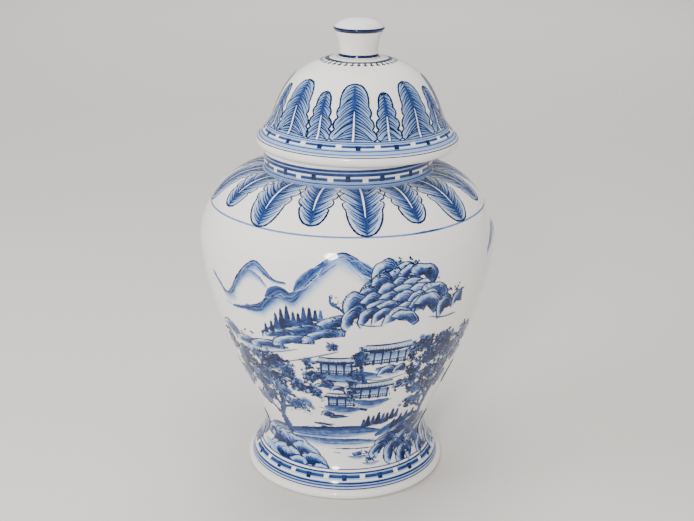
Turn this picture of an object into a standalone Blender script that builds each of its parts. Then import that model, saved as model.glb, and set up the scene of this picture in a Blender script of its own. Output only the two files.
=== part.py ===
"""Lidded porcelain ginger jar on a spreading foot.

The jar is thrown in four sections (foot, lower body, shoulder, neck) that are luted edge to
edge, and the lid in three (dome, locating collar, knob). Metres, +Z up, the origin on the
ground at the centre of the foot. The lid rests on the mouth, pushed to one side as far as its
collar lets it go.
"""
import math

import bpy
from mathutils import Vector

# Driving dimensions, in metres.
FOOT_RADIUS = 0.0728
FOOT_BEAD_HEIGHT = 0.0064
FOOT_RING_WIDTH = 0.0100
FOOT_RECESS = 0.0060
FLOOR_THICKNESS = 0.0080
WAIST_RADIUS = 0.0589
WAIST_HEIGHT = 0.0347
BELLY_RADIUS = 0.1050
BODY_RISE = 0.1440
NECK_RADIUS = 0.0593
SHOULDER_RISE = 0.0470
NECK_RISE = 0.0148
WALL = 0.0050

LID_OVERHANG = 0.0116
LID_BEAD_HEIGHT = 0.0100
DOME_INSET = 0.0007
DOME_SPRING_HEIGHT = 0.0252
DOME_HEIGHT = 0.0635
LID_WALL = 0.0048
COLLAR_DEPTH = 0.0135
COLLAR_WALL = 0.0040
COLLAR_CLEARANCE = 0.0066
KNOB_STEM_RADIUS = 0.0130
KNOB_RADIUS = 0.0175
KNOB_HEIGHT = 0.0264
KNOB_LIP = 0.0009
KNOB_TENON_RADIUS = 0.0080

# Handles of the outline curves, as shares of each curve's own width and rise.
FLARE_WAIST_PULL = 0.60
FLARE_FOOT_PULL = (0.09, 0.33)
BOWL_FLAT_SHARE = 0.55
BOWL_FLOOR_PULL = 0.88
BOWL_SIDE_PULL = 0.25
BODY_BELLY_PULL = 0.37
BODY_WAIST_PULL = 0.09
SHOULDER_NECK_PULL = 0.66
SHOULDER_BELLY_PULL = 0.34
DOME_CROWN_PULL = 0.680
DOME_SIDE_PULL = (0.871, 0.566)
SLOPE_DOME_PULL = (0.19, 0.40)
SLOPE_BEAD_PULL = (0.38, 0.53)
LIP_HEIGHT_SHARE = 0.72
CAP_CROWN_PULL = 0.45
CAP_LIP_PULL = (0.86, 0.20)
STEM_LIP_PULL = (1.10, 0.24)
STEM_BASE_PULL = (0.99, 0.28)
STEM_BASE_SHARE = 1.04

# Fits between neighbours.
LUTING_GAP = 0.0003
REST_GAP = 0.0003
TOUCH_GAP = 0.0003
EDGE_ROUNDING = 0.0012

TURN_STEPS = 48
MERGE_DISTANCE = 0.00002
SHARP_ANGLE = math.radians(40)

# Plain colours and roughness of the glazed pieces and of the bare clay.
FOOT_COLOUR = (0.74, 0.76, 0.80)
BODY_COLOUR = (0.70, 0.74, 0.80)
SHOULDER_COLOUR = (0.62, 0.68, 0.80)
NECK_COLOUR = (0.24, 0.38, 0.68)
LID_COLOUR = (0.72, 0.75, 0.80)
KNOB_COLOUR = (0.80, 0.78, 0.76)
CLAY_COLOUR = (0.78, 0.74, 0.68)
GLAZE_ROUGHNESS = 0.10
CLAY_ROUGHNESS = 0.75

# Heights, radii and offsets that follow from the sizes above.
BELLY_HEIGHT = WAIST_HEIGHT + BODY_RISE
NECK_BASE_HEIGHT = BELLY_HEIGHT + SHOULDER_RISE
MOUTH_HEIGHT = NECK_BASE_HEIGHT + NECK_RISE
LID_SEAT = MOUTH_HEIGHT + REST_GAP
CROWN_HEIGHT = LID_SEAT + DOME_HEIGHT
NECK_BORE = NECK_RADIUS - WALL
LID_RADIUS = NECK_RADIUS + LID_OVERHANG
DOME_SPRING_RADIUS = NECK_RADIUS - DOME_INSET
KNOB_BASE_RADIUS = KNOB_STEM_RADIUS + EDGE_ROUNDING
COLLAR_RADIUS = NECK_BORE - COLLAR_CLEARANCE
LID_SHIFT = COLLAR_CLEARANCE - TOUCH_GAP


def bezier(start, pull_start, pull_end, end, steps):
    """Points along a cubic curve in the (radius, height) plane."""
    corners = [Vector(corner) for corner in (start, pull_start, pull_end, end)]
    points = []
    for index in range(steps + 1):
        t = index / steps
        shares = ((1 - t) ** 3, 3 * t * (1 - t) ** 2, 3 * t * t * (1 - t), t ** 3)
        point = Vector((0.0, 0.0))
        for share, corner in zip(shares, corners):
            point += share * corner
        points.append(point)
    return points


def arc(centre, radius, first_degrees, last_degrees, steps):
    """Points along a round stretch, angles from the outward direction, upward positive."""
    points = []
    for index in range(steps + 1):
        angle = math.radians(first_degrees + (last_degrees - first_degrees) * index / steps)
        points.append(Vector((centre[0] + radius * math.cos(angle), centre[1] + radius * math.sin(angle))))
    return points


def inner_face(outer, wall):
    """The inside of a wall: the outer curve, which runs downward, moved in and run back up.

    It takes every second point of the outer curve, whose number of steps is even.
    """
    points = []
    last = len(outer) - 1
    for index in range(0, len(outer), 2):
        along = (outer[min(index + 1, last)] - outer[max(index - 1, 0)]).normalized()
        points.append(outer[index] + wall * Vector((along.y, -along.x)))
    return points[::-1]


def level(points, low, high):
    """Keeps a wall's two ends on the flat planes where it meets its neighbours."""
    points[0].y = low
    points[-1].y = high
    return points


def make_material(name, colour, roughness=GLAZE_ROUGHNESS):
    material = bpy.data.materials.new(name)
    material.use_nodes = True
    shader = material.node_tree.nodes["Principled BSDF"]
    shader.inputs["Base Color"].default_value = (*colour, 1.0)
    shader.inputs["Roughness"].default_value = roughness
    shader.inputs["Metallic"].default_value = 0.0
    return material


def turned(name, profile, closed, axis_object, material, collection):
    """A turned piece. Its profile runs down the outer side; closed joins a ring's two ends."""
    count = len(profile)
    edges = [(index, index + 1) for index in range(count - 1)]
    if closed:
        edges.append((count - 1, 0))
    outline = bpy.data.meshes.new(name)
    outline.from_pydata([(point[0], 0.0, point[1]) for point in profile], edges, [])
    piece = bpy.data.objects.new(name, outline)
    collection.objects.link(piece)
    screw = piece.modifiers.new("Turn", "SCREW")
    screw.axis = "Z"
    screw.steps = TURN_STEPS
    screw.render_steps = TURN_STEPS
    screw.use_merge_vertices = True
    screw.merge_threshold = MERGE_DISTANCE
    view = bpy.context.evaluated_depsgraph_get()
    mesh = bpy.data.meshes.new_from_object(piece.evaluated_get(view))
    piece.modifiers.clear()
    piece.data = mesh
    mesh.name = name
    bpy.data.meshes.remove(outline)
    mesh.shade_smooth()
    mesh.set_sharp_from_angle(angle=SHARP_ANGLE)
    mesh.materials.append(material)
    piece.parent = axis_object
    return piece


def foot_profile():
    """Spreading foot with the jar's floor: a bowl above, a shallow recess inside the foot ring."""
    waist = (WAIST_RADIUS, WAIST_HEIGHT)
    bead_radius = FOOT_BEAD_HEIGHT / 2
    bead_centre = (FOOT_RADIUS - bead_radius, bead_radius)
    bead = arc(bead_centre, bead_radius, 75, -90, 5)
    spread = FOOT_RADIUS - WAIST_RADIUS
    rise = WAIST_HEIGHT - FOOT_BEAD_HEIGHT
    flare_end = (bead_centre[0], FOOT_BEAD_HEIGHT + LUTING_GAP)
    flare = bezier(
        waist, (WAIST_RADIUS, WAIST_HEIGHT - FLARE_WAIST_PULL * rise),
        (flare_end[0] - FLARE_FOOT_PULL[0] * spread, FOOT_BEAD_HEIGHT + FLARE_FOOT_PULL[1] * rise),
        flare_end, 7)
    ring_inner = bead_centre[0] - FOOT_RING_WIDTH
    floor = FOOT_RECESS + FLOOR_THICKNESS
    bowl_radius = WAIST_RADIUS - WALL
    bowl = bezier(
        (BOWL_FLAT_SHARE * bowl_radius, floor), (BOWL_FLOOR_PULL * bowl_radius, floor),
        (bowl_radius, floor + BOWL_SIDE_PULL * (WAIST_HEIGHT - floor)), (bowl_radius, WAIST_HEIGHT), 5)
    underside = [(ring_inner, 0.0), (ring_inner - EDGE_ROUNDING, FOOT_RECESS), (0.0, FOOT_RECESS)]
    return [(0.0, floor)] + bowl + flare + bead + underside


def body_curve():
    """Outer side of the lower body, from the belly down to the waist."""
    return bezier(
        (BELLY_RADIUS, BELLY_HEIGHT), (BELLY_RADIUS, BELLY_HEIGHT - BODY_BELLY_PULL * BODY_RISE),
        (WAIST_RADIUS, WAIST_HEIGHT + BODY_WAIST_PULL * BODY_RISE), (WAIST_RADIUS, WAIST_HEIGHT), 14)


def lower_body_profile():
    bottom = WAIST_HEIGHT + LUTING_GAP
    outer = level(body_curve(), BELLY_HEIGHT, bottom)
    return outer + level(inner_face(outer, WALL), bottom, BELLY_HEIGHT)


def shoulder_curve():
    """Outer side of the shoulder, from the foot of the neck out and down to the belly."""
    width = BELLY_RADIUS - NECK_RADIUS
    return bezier(
        (NECK_RADIUS, NECK_BASE_HEIGHT), (NECK_RADIUS + SHOULDER_NECK_PULL * width, NECK_BASE_HEIGHT),
        (BELLY_RADIUS, BELLY_HEIGHT + SHOULDER_BELLY_PULL * SHOULDER_RISE), (BELLY_RADIUS, BELLY_HEIGHT),
        10)


def shoulder_profile():
    bottom = BELLY_HEIGHT + LUTING_GAP
    outer = shoulder_curve()
    outer[-1].y = bottom
    inner = inner_face(outer, WALL)
    inner[0].y = bottom
    inner[-1].x = NECK_BORE
    return [Vector((NECK_BORE, NECK_BASE_HEIGHT))] + outer + inner


def neck_profile():
    bottom = NECK_BASE_HEIGHT + LUTING_GAP
    lip = arc((NECK_RADIUS - EDGE_ROUNDING, MOUTH_HEIGHT - EDGE_ROUNDING), EDGE_ROUNDING, 90, 0, 3)
    inner_lip = arc((NECK_BORE + EDGE_ROUNDING, MOUTH_HEIGHT - EDGE_ROUNDING), EDGE_ROUNDING, 180, 90, 3)
    return lip + [(NECK_RADIUS, bottom), (NECK_BORE, bottom)] + inner_lip


def dome_curve():
    """Outer side of the dome, from the edge of the flat pad under the knob down to its foot."""
    side = DOME_HEIGHT - DOME_SPRING_HEIGHT
    spring = (DOME_SPRING_RADIUS, LID_SEAT + DOME_SPRING_HEIGHT)
    curve = bezier(
        (0.0, CROWN_HEIGHT), (DOME_CROWN_PULL * DOME_SPRING_RADIUS, CROWN_HEIGHT),
        (DOME_SIDE_PULL[0] * DOME_SPRING_RADIUS, spring[1] + DOME_SIDE_PULL[1] * side), spring, 14)
    return [point for point in curve if point.x > KNOB_BASE_RADIUS]


def dome_profile():
    """Lid shell: crown socket, dome, rim slope, rounded bead and the flat seat under it."""
    collar_inner = COLLAR_RADIUS - COLLAR_WALL
    socket = KNOB_TENON_RADIUS + LUTING_GAP
    dome = dome_curve()
    spring = dome[-1]
    hollow = inner_face(dome, LID_WALL)
    bead_radius = LID_BEAD_HEIGHT / 2 - EDGE_ROUNDING / 2
    bead_centre = (LID_RADIUS - bead_radius, LID_SEAT + EDGE_ROUNDING + bead_radius)
    bead = arc(bead_centre, bead_radius, 65, -80, 6)
    reach = bead[0].x - spring.x
    drop = spring.y - bead[0].y
    slope = bezier(
        spring, (spring.x + SLOPE_DOME_PULL[0] * reach, spring.y - SLOPE_DOME_PULL[1] * drop),
        (spring.x + SLOPE_BEAD_PULL[0] * reach, bead[0].y + SLOPE_BEAD_PULL[1] * drop), bead[0], 5)
    floor = LID_SEAT + LID_WALL
    seat = [(bead_centre[0] - bead_radius, LID_SEAT), (collar_inner, LID_SEAT), (collar_inner, floor)]
    wall_foot = spring.x - LID_WALL
    corner = arc((wall_foot - 2 * EDGE_ROUNDING, floor + 2 * EDGE_ROUNDING), 2 * EDGE_ROUNDING, -90, 0, 3)
    crown = [Vector((socket, dome[0].y))]
    under_crown = [Vector((socket, hollow[-1].y))]
    return crown + dome + slope[1:-1] + bead + seat + corner + hollow + under_crown


def collar_profile():
    top = LID_SEAT - LUTING_GAP
    bottom = top - COLLAR_DEPTH
    inner = COLLAR_RADIUS - COLLAR_WALL
    outer_edge = (COLLAR_RADIUS - EDGE_ROUNDING, bottom + EDGE_ROUNDING)
    return ([(COLLAR_RADIUS, top)] + arc(outer_edge, EDGE_ROUNDING, 0, -90, 3)
            + [(inner, bottom), (inner, top)])


def knob_profile():
    """Waisted knob with a thin lip and a domed top, on a tenon that fills the crown socket."""
    pad = dome_curve()[0].y
    seat = pad + LUTING_GAP
    top = seat + KNOB_HEIGHT
    lip_height = seat + LIP_HEIGHT_SHARE * KNOB_HEIGHT
    lip = arc((KNOB_RADIUS - KNOB_LIP, lip_height), KNOB_LIP, 60, -60, 4)
    cap = bezier(
        (0.0, top), (CAP_CROWN_PULL * KNOB_RADIUS, top),
        (CAP_LIP_PULL[0] * KNOB_RADIUS, lip_height + CAP_LIP_PULL[1] * KNOB_HEIGHT), lip[0], 6)
    stem = bezier(
        lip[-1], (STEM_LIP_PULL[0] * KNOB_STEM_RADIUS, lip_height - STEM_LIP_PULL[1] * KNOB_HEIGHT),
        (STEM_BASE_PULL[0] * KNOB_STEM_RADIUS, seat + STEM_BASE_PULL[1] * KNOB_HEIGHT),
        (STEM_BASE_SHARE * KNOB_STEM_RADIUS, seat + EDGE_ROUNDING), 6)
    tenon_end = pad - LID_WALL
    base = [(KNOB_BASE_RADIUS, seat), (KNOB_TENON_RADIUS, seat)]
    return cap[:-1] + lip + stem[1:] + base + [(KNOB_TENON_RADIUS, tenon_end), (0.0, tenon_end)]


def make_axis(name, place, collection):
    axis_object = bpy.data.objects.new(name, None)
    axis_object.location = place
    collection.objects.link(axis_object)
    return axis_object


def lowered(profile, height):
    """The same profile measured from its own axis object's height."""
    return [(point[0], point[1] - height) for point in profile]


def build():
    for old in list(bpy.data.objects):
        bpy.data.objects.remove(old, do_unlink=True)
    jar = bpy.data.collections.new("ginger_jar")
    bpy.context.scene.collection.children.link(jar)

    painted_foot = make_material("glazed_foot", FOOT_COLOUR)
    painted_body = make_material("glazed_body", BODY_COLOUR)
    painted_shoulder = make_material("glazed_shoulder", SHOULDER_COLOUR)
    painted_neck = make_material("glazed_neck", NECK_COLOUR)
    painted_dome = make_material("glazed_lid", LID_COLOUR)
    painted_knob = make_material("glazed_knob", KNOB_COLOUR)
    bare_clay = make_material("unglazed_collar", CLAY_COLOUR, CLAY_ROUGHNESS)

    jar_axis = make_axis("jar_axis", (0.0, 0.0, 0.0), jar)
    lid_axis = make_axis("lid_axis", (LID_SHIFT, 0.0, LID_SEAT), jar)
    jar_pieces = (
        ("jar_foot", foot_profile(), False, painted_foot),
        ("jar_lower_body", lower_body_profile(), True, painted_body),
        ("jar_shoulder", shoulder_profile(), True, painted_shoulder),
        ("jar_neck", neck_profile(), True, painted_neck),
    )
    lid_pieces = (
        ("lid_dome", dome_profile(), True, painted_dome),
        ("lid_collar", collar_profile(), True, bare_clay),
        ("lid_knob", knob_profile(), False, painted_knob),
    )
    for name, profile, closed, material in jar_pieces:
        turned(name, profile, closed, jar_axis, material, jar)
    for name, profile, closed, material in lid_pieces:
        turned(name, lowered(profile, LID_SEAT), closed, lid_axis, material, jar)


build()
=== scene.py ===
"""Blue-and-white porcelain ginger jar: turned and glazed sections with brushwork on the glaze.

The seven thrown sections are profiles turned by Geometry Nodes. The cobalt painting lies on
them as thin closed marks, each following the wall under it and carrying how much pigment the
brush left along and across the mark. Lengths are in metres unless a name says otherwise.
"""

import math

import bpy
import numpy as np
from bpy.props import FloatProperty, FloatVectorProperty, IntProperty, PointerProperty
from mathutils import Matrix, Vector


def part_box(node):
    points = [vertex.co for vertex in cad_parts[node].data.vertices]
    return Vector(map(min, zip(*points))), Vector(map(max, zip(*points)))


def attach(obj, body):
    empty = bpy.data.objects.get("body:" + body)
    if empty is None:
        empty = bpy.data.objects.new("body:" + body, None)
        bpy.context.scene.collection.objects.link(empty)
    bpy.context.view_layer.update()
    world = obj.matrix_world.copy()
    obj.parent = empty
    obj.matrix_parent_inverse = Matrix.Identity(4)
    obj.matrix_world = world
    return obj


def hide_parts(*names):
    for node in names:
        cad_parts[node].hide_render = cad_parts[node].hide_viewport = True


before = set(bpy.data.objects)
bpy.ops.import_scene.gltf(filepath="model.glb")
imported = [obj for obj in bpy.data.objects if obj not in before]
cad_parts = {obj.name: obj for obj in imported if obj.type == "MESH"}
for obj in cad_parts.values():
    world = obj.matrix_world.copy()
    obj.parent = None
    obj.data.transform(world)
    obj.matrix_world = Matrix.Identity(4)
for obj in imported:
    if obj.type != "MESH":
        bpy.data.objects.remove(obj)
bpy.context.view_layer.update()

bl_info = {
    "name": "Ginger jar",
    "version": (1, 0, 0),
    "blender": (4, 5, 0),
    "location": "View3D > Sidebar > Ginger Jar",
    "description": "Builds a painted and glazed porcelain ginger jar with a loose lid",
    "category": "Add Mesh",
}

MM = 0.001


def frame_size(node):
    """Half width, lowest height, highest height and the axis's place of a turned node."""
    low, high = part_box(node)
    return (high[0] - low[0]) / 2, low[2], high[2], (high[0] + low[0]) / 2


# Sizes read from the frame.
FOOT_RADIUS, FOOT_BOTTOM, WAIST_HEIGHT, JAR_AXIS = frame_size("jar_foot")
BELLY_RADIUS, _, BELLY_HEIGHT, _ = frame_size("jar_lower_body")
_, _, NECK_BASE_HEIGHT, _ = frame_size("jar_shoulder")
NECK_RADIUS, _, MOUTH_HEIGHT, _ = frame_size("jar_neck")
LID_RADIUS, LID_SEAT, PAD_HEIGHT, LID_AXIS = frame_size("lid_dome")
COLLAR_RADIUS, COLLAR_BOTTOM, COLLAR_TOP, _ = frame_size("lid_collar")
KNOB_RADIUS, TENON_BOTTOM, KNOB_TOP, _ = frame_size("lid_knob")

# Sizes that the frame's boxes don't show.
WAIST_RADIUS = 58.9 * MM
FOOT_BEAD_HEIGHT = 6.4 * MM
FOOT_RING_WIDTH = 10.0 * MM
FOOT_RECESS = 6.0 * MM
FLOOR_THICKNESS = 8.0 * MM
WALL = 5.0 * MM
LID_BEAD_HEIGHT = 10.0 * MM
DOME_INSET = 0.7 * MM
DOME_SPRING_HEIGHT = 25.2 * MM
DOME_HEIGHT = 63.5 * MM
LID_WALL = 4.8 * MM
COLLAR_WALL = 4.0 * MM
KNOB_STEM_RADIUS = 13.0 * MM
KNOB_LIP = 0.9 * MM
KNOB_TENON_RADIUS = 8.0 * MM
LUTING_GAP = 0.3 * MM
EDGE_ROUNDING = 1.2 * MM
JOIN_OVERLAP = 0.05 * MM

# Where the beads and the knob's lip begin and end, in degrees above the outward direction.
FOOT_BEAD_END = 75
LID_BEAD_START = -80
LID_BEAD_END = 65
LIP_END = 60

# How many straight steps stand for each curve, and columns for each turned piece.
EDGE_STEPS = 5
SOCKET_STEPS = 6
LIP_STEPS = 8
BOWL_STEPS = 10
FOOT_BEAD_STEPS = 12
LID_BEAD_STEPS = 16
KNOB_STEPS = 20
FLARE_STEPS = 22
SHOULDER_STEPS = 48
DOME_STEPS = 60
BODY_STEPS = 80
COLUMNS = 360
COLLAR_COLUMNS = 240
KNOB_COLUMNS = 192

# Handles of the outline curves, as shares of each curve's own width and rise.
FLARE_WAIST_PULL = 0.60
FLARE_FOOT_PULL = (0.09, 0.33)
BOWL_FLAT_SHARE = 0.55
BOWL_FLOOR_PULL = 0.88
BOWL_SIDE_PULL = 0.25
BODY_BELLY_PULL = 0.37
BODY_WAIST_PULL = 0.09
SHOULDER_NECK_PULL = 0.66
SHOULDER_BELLY_PULL = 0.34
DOME_CROWN_PULL = 0.680
DOME_SIDE_PULL = (0.871, 0.566)
SLOPE_DOME_PULL = (0.19, 0.40)
SLOPE_BEAD_PULL = (0.38, 0.53)
LIP_HEIGHT_SHARE = 0.72
CAP_CROWN_PULL = 0.45
CAP_LIP_PULL = (0.86, 0.20)
STEM_LIP_PULL = (1.10, 0.24)
STEM_BASE_PULL = (0.99, 0.28)
STEM_BASE_SHARE = 1.04

# How the turned pieces are swept and shaded.
SMOOTH_ANGLE = math.radians(35)
MERGE_DISTANCE = 0.01 * MM
GUIDE_RADIUS = 0.05
FACING_LEAST = 0.8

# How high marks lie over the wall, how far they go into it, and how finely they are cut.
FIRST_LIFT = 0.015 * MM
LAYER_STEP = 0.006 * MM
UNDERSIDE_DEPTH = 0.05 * MM
RING_STEP = 0.55 * MM
RING_CORNERS = 361
MOST_STEPS = 400

# The hand: its landscape is bolder than its borders. The leaf's sizes are in millimetres.
LANDSCAPE_BOLDNESS = 1.7
LANDSCAPE_STRENGTH = 1.4
HEAP_LEAN = 0.7
DOT_SIZE = 0.7
LEAFINESS = 2.2
LEAF_LAYER = 2
TOP_LEAF_LAYER = 12
LOBE_DEPTH = 3.0
VEIN_STEP = 2.1
VEIN_SLANT = 0.85
VEIN_WIDTH = 0.72

# Surfaces and the stage. Lamps narrower than SMALL_LAMP show as a highlight on the glaze.
IRON_BROWN = (0.30, 0.20, 0.12, 1.0)
GLAZE_ROUGHNESS = 0.15
GLAZE_COAT = 0.5
BISCUIT_ROUGHNESS = 0.7
RIPPLE_DEPTH = 0.02 * MM
GRAIN_DEPTH = 0.15 * MM
FLOOR_RADIUS = 9.0
FLOOR_CORNERS = 96
SMALL_LAMP = 0.5

# How much pigment a mark carries, from bare glaze to the darkest blue-black.
BARE = 0.0
HAZE = 0.10
PALE = 0.24
NEARLY_BARE = 0.1 * PALE
SOFT = 0.40
COBALT = 0.56
DEEP = 0.72
DARK = 0.86
INK = 1.0


# ------------------------------------------------------------------ outlines


def curve(start, pull_start, pull_end, end, steps):
    """Points along a cubic curve in the (radius, height) plane."""
    t = np.linspace(0.0, 1.0, steps + 1)[:, None]
    corners = np.array((start, pull_start, pull_end, end), dtype=float)
    shares = ((1 - t) ** 3, 3 * t * (1 - t) ** 2, 3 * t * t * (1 - t), t ** 3)
    return sum(share * corner for share, corner in zip(shares, corners))


def arc(centre, radius, first_degrees, last_degrees, steps):
    """Points along a round stretch, angles from the outward direction, upward positive."""
    angle = np.radians(np.linspace(first_degrees, last_degrees, steps + 1))
    return np.stack((centre[0] + radius * np.cos(angle), centre[1] + radius * np.sin(angle)), 1)


def joined(*stretches):
    """One outline from several, with a point that two of them share kept once."""
    points = np.concatenate([np.atleast_2d(np.array(stretch, dtype=float)) for stretch in stretches])
    apart = np.hypot(*np.diff(points, axis=0).T) > MERGE_DISTANCE
    return points[np.concatenate(([True], apart))]


def foot_outline():
    bead = FOOT_BEAD_HEIGHT / 2
    centre = (FOOT_RADIUS - bead, FOOT_BOTTOM + bead)
    rise = WAIST_HEIGHT - FOOT_BEAD_HEIGHT
    spread = FOOT_RADIUS - WAIST_RADIUS
    flare_end = (centre[0], FOOT_BEAD_HEIGHT + LUTING_GAP)
    flare = curve(
        flare_end,
        (flare_end[0] - FLARE_FOOT_PULL[0] * spread, FOOT_BEAD_HEIGHT + FLARE_FOOT_PULL[1] * rise),
        (WAIST_RADIUS, WAIST_HEIGHT - FLARE_WAIST_PULL * rise), (WAIST_RADIUS, WAIST_HEIGHT), FLARE_STEPS)
    return joined(arc(centre, bead, -90, FOOT_BEAD_END, FOOT_BEAD_STEPS), flare)


def body_outline():
    rise = BELLY_HEIGHT - WAIST_HEIGHT
    return curve(
        (WAIST_RADIUS, WAIST_HEIGHT), (WAIST_RADIUS, WAIST_HEIGHT + BODY_WAIST_PULL * rise),
        (BELLY_RADIUS, BELLY_HEIGHT - BODY_BELLY_PULL * rise), (BELLY_RADIUS, BELLY_HEIGHT), BODY_STEPS)


def shoulder_outline():
    rise = NECK_BASE_HEIGHT - BELLY_HEIGHT
    width = BELLY_RADIUS - NECK_RADIUS
    return curve(
        (BELLY_RADIUS, BELLY_HEIGHT), (BELLY_RADIUS, BELLY_HEIGHT + SHOULDER_BELLY_PULL * rise),
        (NECK_RADIUS + SHOULDER_NECK_PULL * width, NECK_BASE_HEIGHT), (NECK_RADIUS, NECK_BASE_HEIGHT),
        SHOULDER_STEPS)


def neck_outline():
    lip = arc((NECK_RADIUS - EDGE_ROUNDING, MOUTH_HEIGHT - EDGE_ROUNDING), EDGE_ROUNDING, 0, 90, EDGE_STEPS)
    return joined((NECK_RADIUS, NECK_BASE_HEIGHT), lip)


def dome_outline():
    """From the lid's seat round its bead and up to the flat pad under the knob."""
    bead = LID_BEAD_HEIGHT / 2 - EDGE_ROUNDING / 2
    centre = (LID_RADIUS - bead, LID_SEAT + EDGE_ROUNDING + bead)
    rim = arc(centre, bead, LID_BEAD_START, LID_BEAD_END, LID_BEAD_STEPS)
    crown = LID_SEAT + DOME_HEIGHT
    spring = (NECK_RADIUS - DOME_INSET, LID_SEAT + DOME_SPRING_HEIGHT)
    reach = rim[-1][0] - spring[0]
    drop = spring[1] - rim[-1][1]
    slope = curve(
        rim[-1], (spring[0] + SLOPE_BEAD_PULL[0] * reach, rim[-1][1] + SLOPE_BEAD_PULL[1] * drop),
        (spring[0] + SLOPE_DOME_PULL[0] * reach, spring[1] - SLOPE_DOME_PULL[1] * drop), spring,
        LID_BEAD_STEPS)
    side = DOME_HEIGHT - DOME_SPRING_HEIGHT
    dome = curve(
        spring, (DOME_SIDE_PULL[0] * spring[0], spring[1] + DOME_SIDE_PULL[1] * side),
        (DOME_CROWN_PULL * spring[0], crown), (0.0, crown), DOME_STEPS)
    pad_edge = np.interp(PAD_HEIGHT, dome[:, 1], dome[:, 0])
    dome = dome[dome[:, 1] < PAD_HEIGHT]
    return joined(rim, slope, dome, (pad_edge, PAD_HEIGHT))


def knob_outline():
    """From the pad up the waisted stem, round the lip and over the cap."""
    seat = PAD_HEIGHT + LUTING_GAP
    height = KNOB_TOP - seat
    lip_height = seat + LIP_HEIGHT_SHARE * height
    lip = arc((KNOB_RADIUS - KNOB_LIP, lip_height), KNOB_LIP, -LIP_END, LIP_END, LIP_STEPS)
    stem = curve(
        (STEM_BASE_SHARE * KNOB_STEM_RADIUS, seat + EDGE_ROUNDING),
        (STEM_BASE_PULL[0] * KNOB_STEM_RADIUS, seat + STEM_BASE_PULL[1] * height),
        (STEM_LIP_PULL[0] * KNOB_STEM_RADIUS, lip_height - STEM_LIP_PULL[1] * height), lip[0],
        KNOB_STEPS)
    cap = curve(
        lip[-1], (CAP_LIP_PULL[0] * KNOB_RADIUS, lip_height + CAP_LIP_PULL[1] * height),
        (CAP_CROWN_PULL * KNOB_RADIUS, KNOB_TOP), (0.0, KNOB_TOP), KNOB_STEPS)
    base = (KNOB_STEM_RADIUS + EDGE_ROUNDING, PAD_HEIGHT - JOIN_OVERLAP)
    return joined(base, stem, lip, cap)


class Wall:
    """An outline turned about an upright axis, as a surface to paint on.

    A place on it is (turn, along): the angle from the front towards the right, in radians, and
    the distance along the outline from its lower end.
    """

    def __init__(self, outline, axis=0.0):
        self.outline = outline
        steps = np.hypot(*np.diff(outline, axis=0).T)
        self.distance = np.concatenate(([0.0], np.cumsum(steps)))
        slope = np.gradient(outline, self.distance, axis=0)
        self.tilts = np.arctan2(-slope[:, 0], slope[:, 1])
        self.axis = axis

    def radius(self, along):
        return np.interp(along, self.distance, self.outline[:, 0])

    def height(self, along):
        return np.interp(along, self.distance, self.outline[:, 1])

    def tilt(self, along):
        """How far the surface faces upward, in radians."""
        return np.interp(along, self.distance, self.tilts)

    def at_height(self, height):
        return np.interp(height, self.outline[:, 1], self.distance)

    def at_radius(self, radius):
        """Where the outline, past its widest place, has come in to a radius."""
        widest = int(np.argmax(self.outline[:, 0]))
        return np.interp(-radius, -self.outline[widest:, 0], self.distance[widest:])

    def place(self, turn, along, lift):
        tilt = self.tilt(along)
        radius = self.radius(along) + lift * np.cos(tilt)
        height = self.height(along) + lift * np.sin(tilt)
        return np.stack((self.axis + radius * np.sin(turn), -radius * np.cos(turn), height), -1)


JAR_WALL = Wall(joined(foot_outline()[FOOT_BEAD_STEPS + 1:], body_outline(), shoulder_outline()), JAR_AXIS)
NECK_WALL = Wall(joined((NECK_RADIUS, NECK_BASE_HEIGHT), (NECK_RADIUS, MOUTH_HEIGHT)), JAR_AXIS)
LID_WALL_FACE = Wall(dome_outline(), LID_AXIS)
KNOB_WALL = Wall(knob_outline(), LID_AXIS)


# ------------------------------------------------------------------ brushwork


def spread(values, rows, columns):
    """Values along and across a mark, blended evenly to that many rows and columns."""
    grid = np.atleast_2d(np.array(values, dtype=float))
    here = np.linspace(0.0, 1.0, grid.shape[1])
    wide = np.stack([np.interp(np.linspace(0, 1, columns), here, row) for row in grid])
    there = np.linspace(0.0, 1.0, grid.shape[0])
    return np.stack([np.interp(np.linspace(0, 1, rows), there, wide[:, k]) for k in range(columns)], 1)


def smooth_path(points, count):
    """A smooth curve through a few points, as evenly spread points."""
    points = np.array(points, dtype=float)
    knots = np.arange(len(points))
    ends = np.concatenate((2 * points[:1] - points[1:2], points, 2 * points[-1:] - points[-2:-1]))
    t = np.linspace(0, len(points) - 1, 8 * len(points))
    k = np.minimum(t.astype(int), len(points) - 2)
    f = (t - knots[k])[:, None]
    a, b, c, d = ends[k], ends[k + 1], ends[k + 2], ends[k + 3]
    fine = 0.5 * (2 * b + (c - a) * f + (2 * a - 5 * b + 4 * c - d) * f ** 2
                  + (3 * b - a - 3 * c + d) * f ** 3)
    length = np.concatenate(([0.0], np.cumsum(np.hypot(*np.diff(fine, axis=0).T))))
    even = np.linspace(0, length[-1], count)
    return np.stack((np.interp(even, length, fine[:, 0]), np.interp(even, length, fine[:, 1])), 1)


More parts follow.
